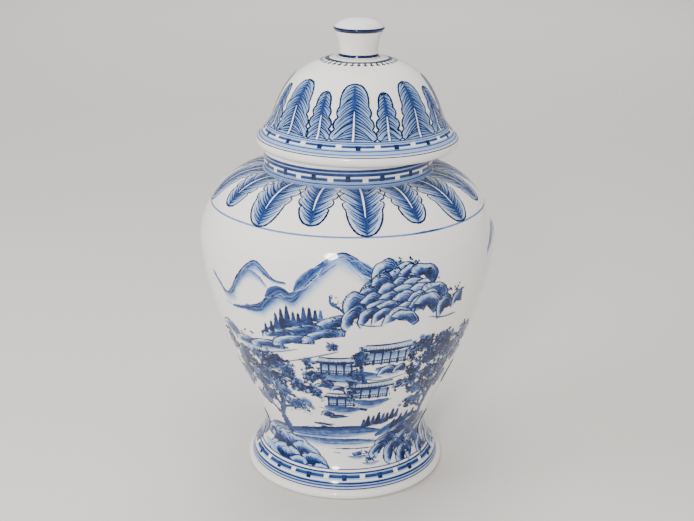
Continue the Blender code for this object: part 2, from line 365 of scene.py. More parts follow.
class Brushwork:
    """Marks painted on a wall, each later layer lying a little above the earlier ones."""

    def __init__(self, wall, seed, layer=0, boldness=1.0, strength=1.0):
        self.wall = wall
        self.boldness = boldness
        self.strength = strength
        self.random = np.random.default_rng(seed)
        self.layer = layer
        self.points, self.tones, self.tilts, self.coats, self.faces = [], [], [], [], []
        self.count = 0

    def spots(self, places):
        """(turn in degrees, height in millimetres) places as (turn, along)."""
        places = np.atleast_2d(np.array(places, dtype=float))
        return np.stack((np.radians(places[:, 0]), self.wall.at_height(places[:, 1] * MM)), 1)

    def near(self, spot, offsets, turned=0.0, size=1.0):
        """Offsets in millimetres, right and up from a spot, as (turn, along)."""
        offsets = np.atleast_2d(np.array(offsets, dtype=float)) * MM * size
        cos, sin = math.cos(turned), math.sin(turned)
        right = offsets[:, 0] * cos - offsets[:, 1] * sin
        up = offsets[:, 0] * sin + offsets[:, 1] * cos
        along = spot[1] + up
        return np.stack((spot[0] + right / self.wall.radius(along), along), 1)

    def patch(self, left, right, tone, across=2):
        """A mark between two edges with the same number of points, right of the first."""
        rows = len(left)
        share = np.linspace(0.0, 1.0, across)[None, :]
        turn = left[:, :1] * (1 - share) + right[:, :1] * share
        along = left[:, 1:] * (1 - share) + right[:, 1:] * share
        lift = FIRST_LIFT + LAYER_STEP * self.layer
        top = self.wall.place(turn, along, lift)
        if across > 2:
            under = self.wall.place(turn, along, -UNDERSIDE_DEPTH)
            under_along = along
        else:
            under_along = along.mean(1, keepdims=True)
            under = self.wall.place(turn.mean(1, keepdims=True), under_along, -UNDERSIDE_DEPTH)
        tones = np.minimum(spread(tone, rows, across) * self.strength, INK)
        below = under.shape[1]
        first = self.count
        grid = first + np.arange(rows * across).reshape(rows, across)
        base = first + rows * across + np.arange(rows * below).reshape(rows, below)
        around = np.concatenate((grid, base[:, ::-1]), 1)
        beside = np.roll(around, -1, 1)
        quads = np.stack((around[:-1], beside[:-1], beside[1:], around[1:]), -1).reshape(-1, 4)
        self.faces += quads.tolist()
        self.faces += [around[0][::-1].tolist(), around[-1].tolist()]
        self.points += [top.reshape(-1, 3), under.reshape(-1, 3)]
        self.tones += [tones.ravel(), np.repeat(tones.mean(1), below)]
        self.tilts += [self.wall.tilt(along).ravel(), self.wall.tilt(under_along).ravel()]
        way = np.concatenate(([0.0], np.cumsum(np.hypot(
            np.diff(along[:, 0]), np.diff(turn[:, 0]) * self.wall.radius(along[1:, 0])))))
        way = way + self.random.random() * 10
        breadth = np.hypot((turn[:, -1] - turn[:, 0]) * self.wall.radius(along[:, 0]),
                           along[:, -1] - along[:, 0])[:, None]
        top_coat = np.stack(np.broadcast_arrays(way[:, None], share * breadth), -1)
        under_coat = np.stack((np.repeat(way, below), np.zeros(rows * below)), -1)
        self.coats += [top_coat.reshape(-1, 2), under_coat]
        self.count += rows * (across + below)

    def stroke(self, path, width, tone, press=(0.35, 1.0, 0.3), across=2, step=1.2, wobble=0.10):
        """One pull of the brush along a path of (turn, along) places; width in millimetres."""
        radius = float(self.wall.radius(np.mean(path[:, 1])))
        flat = np.array(path) * (radius, 1.0)
        length = float(np.hypot(*np.diff(flat, axis=0).T).sum())
        count = int(np.clip(math.ceil(length / (step * MM)) + 1, 3, MOST_STEPS))
        flat = smooth_path(flat, count)
        slope = np.gradient(flat, axis=0)
        slope /= np.maximum(np.hypot(slope[:, 0], slope[:, 1]), 1e-9)[:, None]
        knots = np.linspace(0, 1, len(press))
        half = np.interp(np.linspace(0, 1, count), knots, press) * width * self.boldness * MM / 2
        half = half * (1 + wobble * self.random.standard_normal(count).clip(-1.5, 1.5))
        side = np.stack((-slope[:, 1], slope[:, 0]), 1) * half[:, None]
        self.patch((flat + side) / (radius, 1.0), (flat - side) / (radius, 1.0), tone, across)

    def ring(self, along, width, tone, wobble, across=None):
        """A line drawn right round while the piece turns; the distances in metres."""
        turn = np.linspace(-math.pi, math.pi, RING_CORNERS)
        drift = wobble * (np.sin(3 * turn + self.random.random() * 6) + np.sin(7 * turn + 1.0)) / 2
        middle = np.stack((turn, along + drift), 1)
        self.patch(middle + (0.0, width / 2), middle - (0.0, width / 2), tone,
                   across or max(2, math.ceil(width / RING_STEP) + 1))

    def dab(self, spot, length, width, angle, tone, bend=0.15):
        """A short pointed touch; the lengths in millimetres."""
        offsets = ((0, 0), (length * 0.5, bend * length), (length, 0))
        self.stroke(self.near(spot, offsets, angle), width, tone, (0.25, 1.0, 0.15), step=length / 2.9)

    def over(self, layers=1):
        self.layer += layers

    def mesh(self, name):
        made = bpy.data.meshes.new(name)
        made.from_pydata(np.concatenate(self.points).tolist(), [], self.faces)
        tone = made.attributes.new("pigment", "FLOAT", "POINT")
        tone.data.foreach_set("value", np.concatenate(self.tones).astype(np.float32))
        tilt = made.attributes.new("tilt", "FLOAT", "POINT")
        tilt.data.foreach_set("value", np.concatenate(self.tilts).astype(np.float32))
        coat = made.uv_layers.new(name="stroke")
        corners = np.empty(len(made.loops), dtype=np.int32)
        made.loops.foreach_get("vertex_index", corners)
        coat.data.foreach_set("uv", np.concatenate(self.coats)[corners].astype(np.float32).ravel())
        return made


# ------------------------------------------------------------------ painted motifs


def mountain(brush, ridge, depths, crests, line_tone=COBALT, line_width=0.6, folds=0, drags=0):
    """A far mountain: a wash that fades down from its ridge, dragged strokes, a broken crest line."""
    path = brush.spots(ridge)
    count = 8 * len(ridge)
    radius = float(brush.wall.radius(path[:, 1].mean()))
    top = smooth_path(path * (radius, 1.0), count) / (radius, 1.0)
    depth = np.interp(np.linspace(0, 1, count), np.linspace(0, 1, len(depths)), depths) * MM
    depth = np.convolve(np.pad(depth, 2, mode="edge"), np.ones(5) / 5, mode="valid")
    crest = np.interp(np.linspace(0, 1, count), np.linspace(0, 1, len(crests)), crests)
    fall = np.array((1.0, 0.92, 0.72, 0.48, 0.27, 0.12, 0.03, 0.0))
    brush.patch(top, top - np.stack((0 * depth, depth), 1), crest[:, None] * fall[None, :], len(fall))
    brush.over()
    for index in range(2, count - 3, folds) if folds else ():
        drop = depth[index] * brush.random.uniform(0.3, 0.65)
        lean = drop * brush.random.uniform(-0.5, 0.5) / radius
        start = top[index] - (0.0, depth[index] * 0.08)
        path = np.array((start, start + (lean * 0.4, -drop * 0.5), start + (lean, -drop)))
        tone = crest[index]
        brush.stroke(path, depth[index] / MM * 0.22,
                     ((0.75 * tone, 1.15 * tone, 0.75 * tone), (0.25 * tone,) * 3), (0.3, 1.0, 0.5), across=3)
    for _ in range(drags):
        first = brush.random.integers(0, count - 14)
        run = slice(first, first + brush.random.integers(8, 15))
        fallen = depth[run] * brush.random.uniform(0.04, 0.40)
        tone = 1.25 * crest[run].mean()
        brush.stroke(top[run] - np.stack((0 * fallen, fallen), 1), brush.random.uniform(0.9, 1.9),
                     ((0.3 * tone, tone, 0.45 * tone),), (0.2, 1.0, 0.8, 0.2), across=3, wobble=0.2)
    brush.stroke(top[::3], line_width, line_tone, (0.3, 1.0, 0.7, 1.0, 0.5, 1.0, 0.3), wobble=0.2)


def boulder(brush, place, width, height, turned, tone=COBALT, hatches=6):
    """One folded rock: bare along its crest, dark in the fold below, hatched along its curve."""
    spot = brush.spots(place)[0]
    t = np.linspace(math.radians(-10), math.radians(190), 17)
    rise = height * np.sign(np.sin(t)) * np.abs(np.sin(t)) ** 0.8
    arch = np.stack((width / 2 * np.cos(t) + 0.25 * rise, rise), 1)
    arch = arch * (1 + 0.06 * brush.random.standard_normal(17)[:, None].clip(-1, 1))
    core = arch * (0.10, 0.06)
    deep = min(1.35 * tone, DARK)
    lit = (0.55 * tone, 0.14 * tone, 0.24 * tone, 0.55 * tone, 0.85 * tone, tone, deep, deep)
    shaded = (0.95 * tone, 0.60 * tone, 0.75 * tone, 0.95 * tone, tone, deep, deep, deep)
    brush.patch(brush.near(spot, arch[::-1], turned), brush.near(spot, core[::-1], turned),
                (lit, lit, lit, shaded, shaded), 8)
    brush.over(0.8)
    for index in range(hatches):
        reach = 0.84 - 0.13 * index + 0.03 * brush.random.standard_normal()
        first = brush.random.integers(0, 4)
        last = first + brush.random.integers(6, 11)
        line = arch[first:last] * (reach, reach)
        brush.stroke(brush.near(spot, line, turned), 0.60, min(tone * brush.random.uniform(0.95, 1.5), DARK),
                     (1.0, 0.9, 0.6, 0.2), wobble=0.2)
    brush.stroke(brush.near(spot, arch[::2], turned), 0.60, min(tone * 1.35, DARK),
                 (1.0, 1.1, 0.5, 0.9, 0.6), wobble=0.25)
    brush.over(0.8)


def heap(brush, rows, width, height):
    """Folded rocks piled up, leaning away from the middle: rows of (height, left, right), far ones first."""
    for index, (level, left, right) in enumerate(rows):
        radius = float(brush.wall.radius(brush.wall.at_height(level * MM))) / MM
        pitch = math.degrees(width * 0.55 / radius)
        count = max(1, round((right - left) / pitch))
        for place in range(count):
            turn = left + (place + 0.5 * (index % 2)) * (right - left) / count
            jitter = brush.random.uniform(-1, 1, 4)
            turned = HEAP_LEAN * ((left + right) / 2 - turn) / (right - left) * 2 + 0.25 * jitter[0]
            boulder(brush, (turn + 1.5 * jitter[0], level + 1.8 * jitter[1]), width * (1 + 0.3 * jitter[2]),
                    height * (1 + 0.25 * jitter[3]), turned, COBALT * (1 + 0.15 * jitter[1]))


def boulders(brush, rows, tone, hatches):
    """Single rocks: rows of (turn, height, width, how tall, how far turned)."""
    for turn, height, width, tall, turned in rows:
        boulder(brush, (turn, height), width, tall, turned, tone, hatches)


def bushes(brush, places, count, reach, size=0.9):
    """Clumps of round dark touches, as shrubs on a rock or a hill."""
    for place in places:
        spot = brush.spots(place)[0]
        for _ in range(count):
            offset = brush.random.normal(0, reach / 2, 2) * (1.0, 0.7)
            here = brush.near(spot, offset)[0]
            shade = float(np.clip(DEEP + brush.random.normal(0, 0.13), SOFT, INK))
            brush.dab(here, brush.random.uniform(0.9, 1.9) * size, 0.85 * size,
                      brush.random.uniform(0, math.pi), shade)
    brush.over()


def conifer(brush, place, height, tone):
    """A small fir: a trunk line and drooping side touches that widen downward."""
    spot = brush.spots(place)[0]
    brush.stroke(brush.near(spot, ((0, 0), (0, height / 2), (0, height))), 0.8 + 0.05 * height, tone,
                 (1.0, 0.8, 0.2))
    tiers = max(4, int(height / 1.05))
    for tier in range(tiers):
        up = height * (0.08 + 0.86 * tier / tiers)
        reach = (height - up) * 0.19 + 0.5
        for side in (-1, 1):
            shade = float(np.clip(tone + brush.random.normal(0, 0.08), PALE, INK))
            start = brush.near(spot, (0, up + brush.random.uniform(-0.3, 0.3)))[0]
            path = ((0, 0), (side * reach * 0.6, -0.1), (side * reach, -0.55))
            brush.stroke(brush.near(start, path), 1.0, shade, (1.0, 0.9, 0.2), step=0.8)


def firs(brush, rows):
    """A row of small firs: (turn, height, how tall, tone)."""
    for turn, height, tall, tone in rows:
        conifer(brush, (turn, height), tall, tone)
    brush.over()


def foliage(brush, centre, reach, count, tone, size=1.0):
    """A leafy mass: loose pale washes under clusters of pointed leaves that spread from a point."""
    spot = brush.spots(centre)[0]
    for _ in range(max(2, count // 3)):
        offset = brush.random.normal(0, 0.4, 2) * reach
        here = brush.near(spot, offset)[0]
        path = ((-1.8, 0), (0, brush.random.uniform(-0.5, 0.9)), (1.9, 0))
        brush.stroke(brush.near(here, path, brush.random.uniform(-0.6, 0.6), size),
                     2.8 * size, ((PALE, 1.1 * SOFT, PALE),), (0.4, 1.0, 0.3), across=3, step=0.9)
    brush.over()
    for _ in range(round(count * LEAFINESS)):
        offset = np.clip(brush.random.normal(0, 0.45, 2), -1.1, 1.1) * reach
        here = brush.near(spot, offset)[0]
        shade = tone + brush.random.normal(0, 0.20)
        facing = brush.random.uniform(0, 2 * math.pi)
        for leaf in range(brush.random.integers(3, 6)):
            angle = facing + leaf * 0.55 + brush.random.normal(0, 0.15)
            brush.dab(here, brush.random.uniform(1.8, 3.3) * size, 0.52 * size, angle,
                      float(np.clip(shade + brush.random.normal(0, 0.08), PALE, INK)))
    brush.over()


def dots(brush, centre, reach, count):
    """Loose single leaves and specks round the edge of a leafy mass."""
    spot = brush.spots(centre)[0]
    for _ in range(count):
        offset = brush.random.normal(0, 0.55, 2) * reach
        here = brush.near(spot, offset)[0]
        shade = float(np.clip(COBALT + brush.random.normal(0, 0.15), PALE, INK))
        brush.dab(here, brush.random.uniform(0.8, 1.5) * DOT_SIZE, 0.7 * DOT_SIZE,
                  brush.random.uniform(0, math.pi), shade)


def trunk(brush, path, width, tone=DARK):
    """A trunk or bough, darker down one side, thinning to its tip."""
    brush.stroke(brush.spots(path), width, ((tone, tone * 0.45),), (1.5, 1.0, 0.8, 0.45), across=3,
                 wobble=0.25)


def pavilion(brush, place, width, height, roof, posts):
    """An open thatched pavilion: fence and posts under a long, slightly sagging roof."""
    spot = brush.spots(place)[0]
    half = width / 2
    brush.stroke(brush.near(spot, ((-half * 0.9, height * 0.45), (half * 0.9, height * 0.45))), height * 0.5,
                 ((SOFT, PALE, HAZE, PALE),), (1.0, 1.0), across=4, wobble=0.0)
    brush.over()
    for index in range(posts):
        x = half * (-0.82 + 1.64 * index / (posts - 1))
        brush.stroke(brush.near(spot, ((x, -0.3), (x, height * 0.9))), 0.95, DARK, (1.0, 0.7, 1.0))
    for level in (0.10, 0.32):
        brush.stroke(brush.near(spot, ((-half * 0.9, height * level), (half * 0.85, height * level + 0.3))),
                     0.6, DEEP, (0.8, 1.0, 0.7))
    for index in range(int(width / 1.7)):
        x = -half * 0.85 + 1.7 * index
        brush.stroke(brush.near(spot, ((x, height * 0.08), (x, height * 0.32))), 0.34, DEEP * 0.85, (1, 1))
    brush.over()
    eave = np.array(((-half - 1.5, height), (-half * 0.3, height - 0.5), (half * 0.5, height),
                     (half + 2.0, height + 0.9)))
    crest = eave * (0.86, 1.0) + (0.6, roof)
    brush.patch(smooth_path(brush.near(spot, crest), 14), smooth_path(brush.near(spot, eave), 14),
                ((SOFT, HAZE, HAZE, PALE, DEEP),), 5)
    brush.over()
    brush.stroke(brush.near(spot, eave + (0, 0.35)), 1.8, ((DARK, INK),), (0.5, 1.0, 0.9, 0.4), wobble=0.2)
    brush.stroke(brush.near(spot, crest), 0.8, DARK, (0.4, 1.0, 0.8, 0.3))
    for index in range(int(width / 2.2)):
        x = -half + 2.2 * index + brush.random.uniform(-0.5, 0.5)
        brush.stroke(brush.near(spot, ((x, height + 0.5), (x + 0.4, height + roof * 0.7))), 0.40,
                     DEEP * 0.85, (1.0, 0.3))
    brush.over()


def shore(brush, lines, tone, width):
    """Thin flat lines of water and banks."""
    for line in lines:
        brush.stroke(brush.spots(line), width * brush.random.uniform(0.8, 1.3), tone,
                     (0.2, 1.0, 0.7, 0.9, 0.2), wobble=0.2)


def wash(brush, line, width, tones):
    """A broad soft stroke; tones run from its upper to its lower edge."""
    brush.stroke(brush.spots(line), width, (tones,), (0.25, 0.9, 1.0, 0.85, 0.25),
                 across=max(3, len(tones)), wobble=0.03)
    brush.over()


def washes(brush, rows):
    """Broad soft strokes: rows of (line, width, tones)."""
    for line, width, tones in rows:
        wash(brush, line, width, tones)


def leaf(brush, turn, foot, way, length, widths, lobes, outline_width, core, edge_share, rib_share):
    """A plantain leaf with a scalloped margin, a bare midrib, and slanting veins.

    It runs from foot along the wall, upward where way is 1 and downward where it is -1. widths
    are half widths in millimetres from the foot to the tip's round end, lobes the shares of the
    length where the margin is notched, core the wash at the midrib, edge_share how much of it is
    left at the margin, and rib_share how far up the midrib stays bare.
    """
    spot = (math.radians(turn), foot)
    share = np.linspace(0.0, 1.0, 61)
    notches = np.array(lobes)
    round_end = notches[-1]
    edge = np.interp(np.minimum(share, round_end), np.linspace(0.0, round_end, len(widths)), widths)
    rest = np.clip((share - round_end) / (1 - round_end), 0, 1)
    edge = edge * np.sqrt(np.clip(1 - rest ** 2.1, 0, 1))
    cell = np.clip(np.searchsorted(notches, share, side="right"), 1, len(notches)) - 1
    inner_share = np.clip((share - notches[cell]) / (np.append(notches, 1.0)[cell + 1] - notches[cell]), 0, 1)
    puff = np.where(share < round_end, np.sqrt(np.clip(1 - (2 * inner_share - 1) ** 2, 0, 1)), 0.75)
    bend = brush.random.uniform(-0.5, 0.5)
    middle = np.stack((bend * np.sin(share * math.pi), way * share * length), 1)
    margins = []
    for side in (-1, 1):
        reach = (edge - LOBE_DEPTH * (0.75 - puff)) * (1 + 0.04 * brush.random.standard_normal())
        reach = np.maximum(reach, 0.05) * np.where(share > 0.999, 0.2, 1.0)
        margins.append(middle + np.stack((side * reach, 0 * share), 1))
    fade = 1 - (1 - edge_share) * np.linspace(0, 1, 6) ** 0.6
    tones = core * np.outer((0.85, 1.0, 1.1, 1.1, 0.75), fade)
    for side, margin in zip((-1, 1), margins):
        inner, outer = brush.near(spot, middle[::2]), brush.near(spot, margin[::2])
        if side * way < 0:
            brush.patch(outer, inner, tones[:, ::-1], 6)
        else:
            brush.patch(inner, outer, tones, 6)
    brush.over(3)
    for side, margin in zip((-1, 1), margins):
        wide = np.abs(margin[:, 0] - middle[:, 0])
        for begin in np.arange(VEIN_STEP, 0.97 * length, VEIN_STEP) / length:
            begin = begin + 0.15 * VEIN_STEP / length * brush.random.standard_normal()
            reach = np.interp(begin, share, wide)
            fall = max(begin - VEIN_SLANT * reach / length, 0.01)
            tip = min(np.interp(fall, share, wide), 1.25 * reach) * brush.random.uniform(0.84, 0.97)
            start = np.interp(begin, share, middle[:, 0])
            vein = ((start, way * begin * length),
                    (start + side * tip * 0.5, way * (0.62 * begin + 0.38 * fall) * length),
                    (start + side * tip, way * fall * length))
            brush.stroke(brush.near(spot, vein), VEIN_WIDTH, brush.random.uniform(0.90, 1.0),
                         (1.6, 1.1, 0.8, 0.5), step=1.5)
    brush.over()
    rib = middle[: int(61 * rib_share)]
    brush.stroke(brush.near(spot, rib[::6]), 1.3, BARE, (1.3, 1.0, 0.8, 0.3), wobble=0.06)
    brush.over()
    brush.stroke(brush.near(spot, rib[::6] + (0.8, 0)), 0.5, DARK, (1.0, 0.9, 0.4))
    wedge = [(0.0, way * length * (rib_share + part * (0.95 - rib_share))) for part in (-0.05, 0.4, 1.0)]
    brush.stroke(brush.near(spot, wedge), 3.0, ((DEEP, DARK, DEEP),), (0.5, 1.0, 0.15), across=3)
    for margin in margins:
        brush.stroke(brush.near(spot, margin[::2]), outline_width, 0.97 * INK,
                     (0.7, 0.9, 0.8, 1.0, 1.1), step=0.9, wobble=0.12)
    brush.over()


# ------------------------------------------------------------------ node groups and materials


def link_all(tree, links):
    """Links, each given as (from node, its output, to node, its input)."""
    for source, output, target, socket in links:
        tree.links.new(source.outputs[output], target.inputs[socket])


def add(tree, kind, inputs=(), **properties):
    """A node with its properties set, and then the values of its inputs, each by name or number."""
    node = tree.nodes.new(kind)
    for name, value in properties.items():
        setattr(node, name, value)
    for name, value in dict(inputs).items():
        node.inputs[name].default_value = value
    return node


def shader_group(name, inputs, outputs):
    """An empty group with its named sockets, (kind, names), and its two end nodes."""
    group = bpy.data.node_groups.new(name, "ShaderNodeTree")
    for way, sockets in (("INPUT", inputs), ("OUTPUT", outputs)):
        for kind, labels in sockets:
            for label in labels:
                group.interface.new_socket(label, in_out=way, socket_type=kind)
    return group, add(group, "NodeGroupInput"), add(group, "NodeGroupOutput")


def glaze_surface_group():
    """Slow tone drift, a few iron specks and the faint ripple of a fired glaze."""
    group, start, end = shader_group(
        "Fired glaze",
        (("NodeSocketVector", ("Place",)), ("NodeSocketColor", ("Glaze", "Warm Glaze", "Speck Colour")),
         ("NodeSocketFloat", ("Speck Size",))),
        (("NodeSocketColor", ("Colour",)), ("NodeSocketFloat", ("Roughness", "Height"))))
    drift = add(group, "ShaderNodeTexNoise", {"Scale": 9.0, "Detail": 3.0})
    warm = add(group, "ShaderNodeMix", data_type="RGBA")
    specks = add(group, "ShaderNodeTexVoronoi", {"Scale": 62.0})
    tiny = add(group, "ShaderNodeMath", operation="LESS_THAN")
    rare = add(group, "ShaderNodeSeparateColor")
    chosen = add(group, "ShaderNodeMath", {1: 0.93}, operation="GREATER_THAN")
    both = add(group, "ShaderNodeMath", operation="MULTIPLY")
    dim = add(group, "ShaderNodeMath", {1: 0.55}, operation="MULTIPLY")
    spotted = add(group, "ShaderNodeMix", data_type="RGBA")
    ripple = add(group, "ShaderNodeTexNoise", {"Scale": 130.0, "Detail": 2.0})
    swell = add(group, "ShaderNodeTexNoise", {"Scale": 28.0, "Detail": 1.0})
    heights = add(group, "ShaderNodeMath", {1: 3.0}, operation="MULTIPLY_ADD")
    sheen = add(group, "ShaderNodeMapRange", {"To Min": 0.09, "To Max": 0.17})
    link_all(group, (
        (start, "Place", drift, "Vector"), (start, "Place", specks, "Vector"),
        (start, "Place", ripple, "Vector"), (start, "Place", swell, "Vector"),
        (drift, "Fac", warm, "Factor"), (start, "Glaze", warm, "A"), (start, "Warm Glaze", warm, "B"),
        (specks, "Distance", tiny, 0), (start, "Speck Size", tiny, 1), (specks, "Color", rare, "Color"),
        (rare, "Red", chosen, 0), (tiny, 0, both, 0), (chosen, 0, both, 1), (both, 0, dim, 0),
        (dim, 0, spotted, "Factor"), (warm, "Result", spotted, "A"),
        (start, "Speck Colour", spotted, "B"), (spotted, "Result", end, "Colour"),
        (swell, "Fac", heights, 0), (ripple, "Fac", heights, 2), (heights, 0, end, "Height"),
        (drift, "Fac", sheen, "Value"), (sheen, "Result", end, "Roughness"),
    ))


def cobalt_group():
    """Cobalt under glaze: bristle streaks and pooling thin or thicken the pigment into a colour."""
    group, start, end = shader_group(
        "Cobalt pigment",
        (("NodeSocketFloat", ("Pigment", "Streaks")), ("NodeSocketVector", ("Stroke", "Place")),
         ("NodeSocketColor", ("Bare", "Wash", "Cobalt", "Deep", "Ink"))),
        (("NodeSocketColor", ("Colour",)),))
    stretch = add(group, "ShaderNodeMapping", {"Scale": (180.0, 2600.0, 1.0)})
    bristles = add(group, "ShaderNodeTexNoise", {"Scale": 1.0, "Detail": 2.0}, noise_dimensions="2D")
    pools = add(group, "ShaderNodeTexNoise", {"Scale": 240.0, "Detail": 3.0})
    centred = add(group, "ShaderNodeMath", operation="ADD")
    shifted = add(group, "ShaderNodeMath", {1: 1.0}, operation="SUBTRACT")
    strength = add(group, "ShaderNodeMath", operation="MULTIPLY")
    share = add(group, "ShaderNodeMath", operation="MULTIPLY")
    total = add(group, "ShaderNodeMath", operation="ADD", use_clamp=True)
    link_all(group, (
        (start, "Stroke", stretch, "Vector"), (stretch, "Vector", bristles, "Vector"),
        (start, "Place", pools, "Vector"), (bristles, "Fac", centred, 0), (pools, "Fac", centred, 1),
        (centred, 0, shifted, 0), (shifted, 0, strength, 0), (start, "Streaks", strength, 1),
        (strength, 0, share, 0), (start, "Pigment", share, 1), (share, 0, total, 0),
        (start, "Pigment", total, 1),
    ))
    colour, output = start, "Bare"
    stages = (("Wash", 0.0, PALE), ("Cobalt", PALE, COBALT), ("Deep", COBALT, DARK), ("Ink", DARK, INK))
    for name, low, high in stages:
        part = add(group, "ShaderNodeMapRange", {"From Min": low, "From Max": high})
        mix = add(group, "ShaderNodeMix", data_type="RGBA")
        link_all(group, (
            (total, 0, part, "Value"), (part, "Result", mix, "Factor"), (colour, output, mix, "A"),
            (start, name, mix, "B"),
        ))
        colour, output = mix, "Result"
    link_all(group, ((colour, output, end, "Colour"),))


def solid(colour, share=1.0):
    """A colour setting as a socket takes it, darkened to a share."""
    return *(share * value for value in colour), 1.0


def porcelain(name, roughness, coat):
    """A new material's tree, its shader and the node for the object's own coordinates."""
    material = bpy.data.materials.new(name)
    material.use_nodes = True
    tree = material.node_tree
    shader = tree.nodes["Principled BSDF"]
    for socket, value in (("Roughness", roughness), ("IOR", 1.50), ("Specular IOR Level", 0.1),
                          ("Coat Weight", coat), ("Coat Roughness", 0.03), ("Coat IOR", 1.52)):
        shader.inputs[socket].default_value = value
    return tree, shader, add(tree, "ShaderNodeTexCoord")


def rough_surface(tree, shader, source, output, strength, depth):
    """The relief that an output gives the shader's normal."""
    bump = add(tree, "ShaderNodeBump", {"Strength": strength, "Distance": depth})
    link_all(tree, ((source, output, bump, "Height"), (bump, "Normal", shader, "Normal")))


def glazed_material(name, settings, white=None, speck_size=0.0):
    """Plain glazed porcelain; the tree, shader, coordinates and glaze are handed on."""
    tree, shader, place = porcelain(name, GLAZE_ROUGHNESS, GLAZE_COAT)
    glaze = add(tree, "ShaderNodeGroup", {
        "Glaze": solid(white or settings.glaze_white), "Warm Glaze": solid(white or settings.glaze_warm),
        "Speck Colour": IRON_BROWN, "Speck Size": speck_size}, node_tree=bpy.data.node_groups["Fired glaze"])
    link_all(tree, (
        (place, "Object", glaze, "Place"), (glaze, "Colour", shader, "Base Color"),
        (glaze, "Roughness", shader, "Roughness"),
    ))
    rough_surface(tree, shader, glaze, "Height", settings.ripple, RIPPLE_DEPTH)
    return tree, shader, place, glaze


def painted_material(name, settings, streaks):
    """Cobalt brushwork sealed under the same glaze."""
    tree, shader, place, glaze = glazed_material(name, settings)
    cobalt = add(tree, "ShaderNodeGroup", {
        "Wash": solid(settings.wash_blue), "Cobalt": solid(settings.cobalt_blue),
        "Deep": solid(settings.deep_blue), "Ink": solid(settings.ink_blue),
        "Streaks": streaks}, node_tree=bpy.data.node_groups["Cobalt pigment"])
    pigment = add(tree, "ShaderNodeAttribute", attribute_name="pigment")
    stroke = add(tree, "ShaderNodeUVMap", uv_map="stroke")
    link_all(tree, (
        (place, "Object", cobalt, "Place"), (pigment, "Fac", cobalt, "Pigment"),
        (stroke, "UV", cobalt, "Stroke"), (glaze, "Colour", cobalt, "Bare"),
        (cobalt, "Colour", shader, "Base Color"),
    ))


def biscuit_material(name, settings):
    """Bare fired clay, where the glaze was wiped off."""
    tree, shader, place = porcelain(name, BISCUIT_ROUGHNESS, 0.0)
    grain = add(tree, "ShaderNodeTexNoise", {"Scale": 700.0, "Detail": 4.0})
    stain = add(tree, "ShaderNodeTexNoise", {"Scale": 45.0})
    mix = add(tree, "ShaderNodeMix", {"A": solid(settings.biscuit), "B": solid(settings.biscuit, 0.72)},
              data_type="RGBA")
    dull = add(tree, "ShaderNodeMapRange", {"To Min": 0.62, "To Max": 0.85})
    link_all(tree, (
        (place, "Object", grain, "Vector"), (place, "Object", stain, "Vector"),
        (stain, "Fac", mix, "Factor"), (mix, "Result", shader, "Base Color"),
        (grain, "Fac", dull, "Value"), (dull, "Result", shader, "Roughness"),
    ))
    rough_surface(tree, shader, grain, "Fac", 0.5, GRAIN_DEPTH)


# ------------------------------------------------------------------ geometry trees


def new_tree(name, sockets):
    """An empty Geometry Nodes tree with named inputs: (name, type, default)."""
    tree = bpy.data.node_groups.new(name, "GeometryNodeTree")
    tree.interface.new_socket("Geometry", in_out="INPUT", socket_type="NodeSocketGeometry")
    for label, kind, default in sockets:
        socket = tree.interface.new_socket(label, in_out="INPUT", socket_type=kind)
        if default is not None:
            socket.default_value = default
    tree.interface.new_socket("Geometry", in_out="OUTPUT", socket_type="NodeSocketGeometry")
    return tree, add(tree, "NodeGroupInput"), add(tree, "NodeGroupOutput")


def finished(tree, start, end):
    """The end of a tree: instances made real, then the material; hands back the first of the two."""
    real = add(tree, "GeometryNodeRealizeInstances")
    finish = add(tree, "GeometryNodeSetMaterial")
    link_all(tree, ((real, "Geometry", finish, "Geometry"), (start, "Material", finish, "Material"),
                    (finish, "Geometry", end, "Geometry")))
    return real


def turned_tree():
    """A profile, given flat as (radius less the guide's, minus the height), swept round an axis."""
    tree, start, end = new_tree("Turned section", (
        ("Columns", "NodeSocketInt", COLUMNS), ("Guide Radius", "NodeSocketFloat", GUIDE_RADIUS),
        ("Axis", "NodeSocketFloat", 0.0), ("Material", "NodeSocketMaterial", None)))
    profile = add(tree, "GeometryNodeMeshToCurve")
    guide = add(tree, "GeometryNodeCurvePrimitiveCircle")
    upright = add(tree, "GeometryNodeSetCurveNormal", mode="Z_UP")
    sweep = add(tree, "GeometryNodeCurveToMesh")
    close = add(tree, "GeometryNodeMergeByDistance", {"Distance": MERGE_DISTANCE})
    offset = add(tree, "ShaderNodeCombineXYZ")
    move = add(tree, "GeometryNodeTransform")
    real = finished(tree, start, end)
    link_all(tree, (
        (start, "Geometry", profile, "Mesh"), (start, "Columns", guide, "Resolution"),
        (start, "Guide Radius", guide, "Radius"), (guide, "Curve", upright, "Curve"),
        (upright, "Curve", sweep, "Curve"), (profile, "Curve", sweep, "Profile Curve"),
        (sweep, "Mesh", close, "Geometry"), (start, "Axis", offset, "X"),
        (close, "Geometry", move, "Geometry"), (offset, "Vector", move, "Translation"),
        (move, "Geometry", real, "Geometry"),
    ))


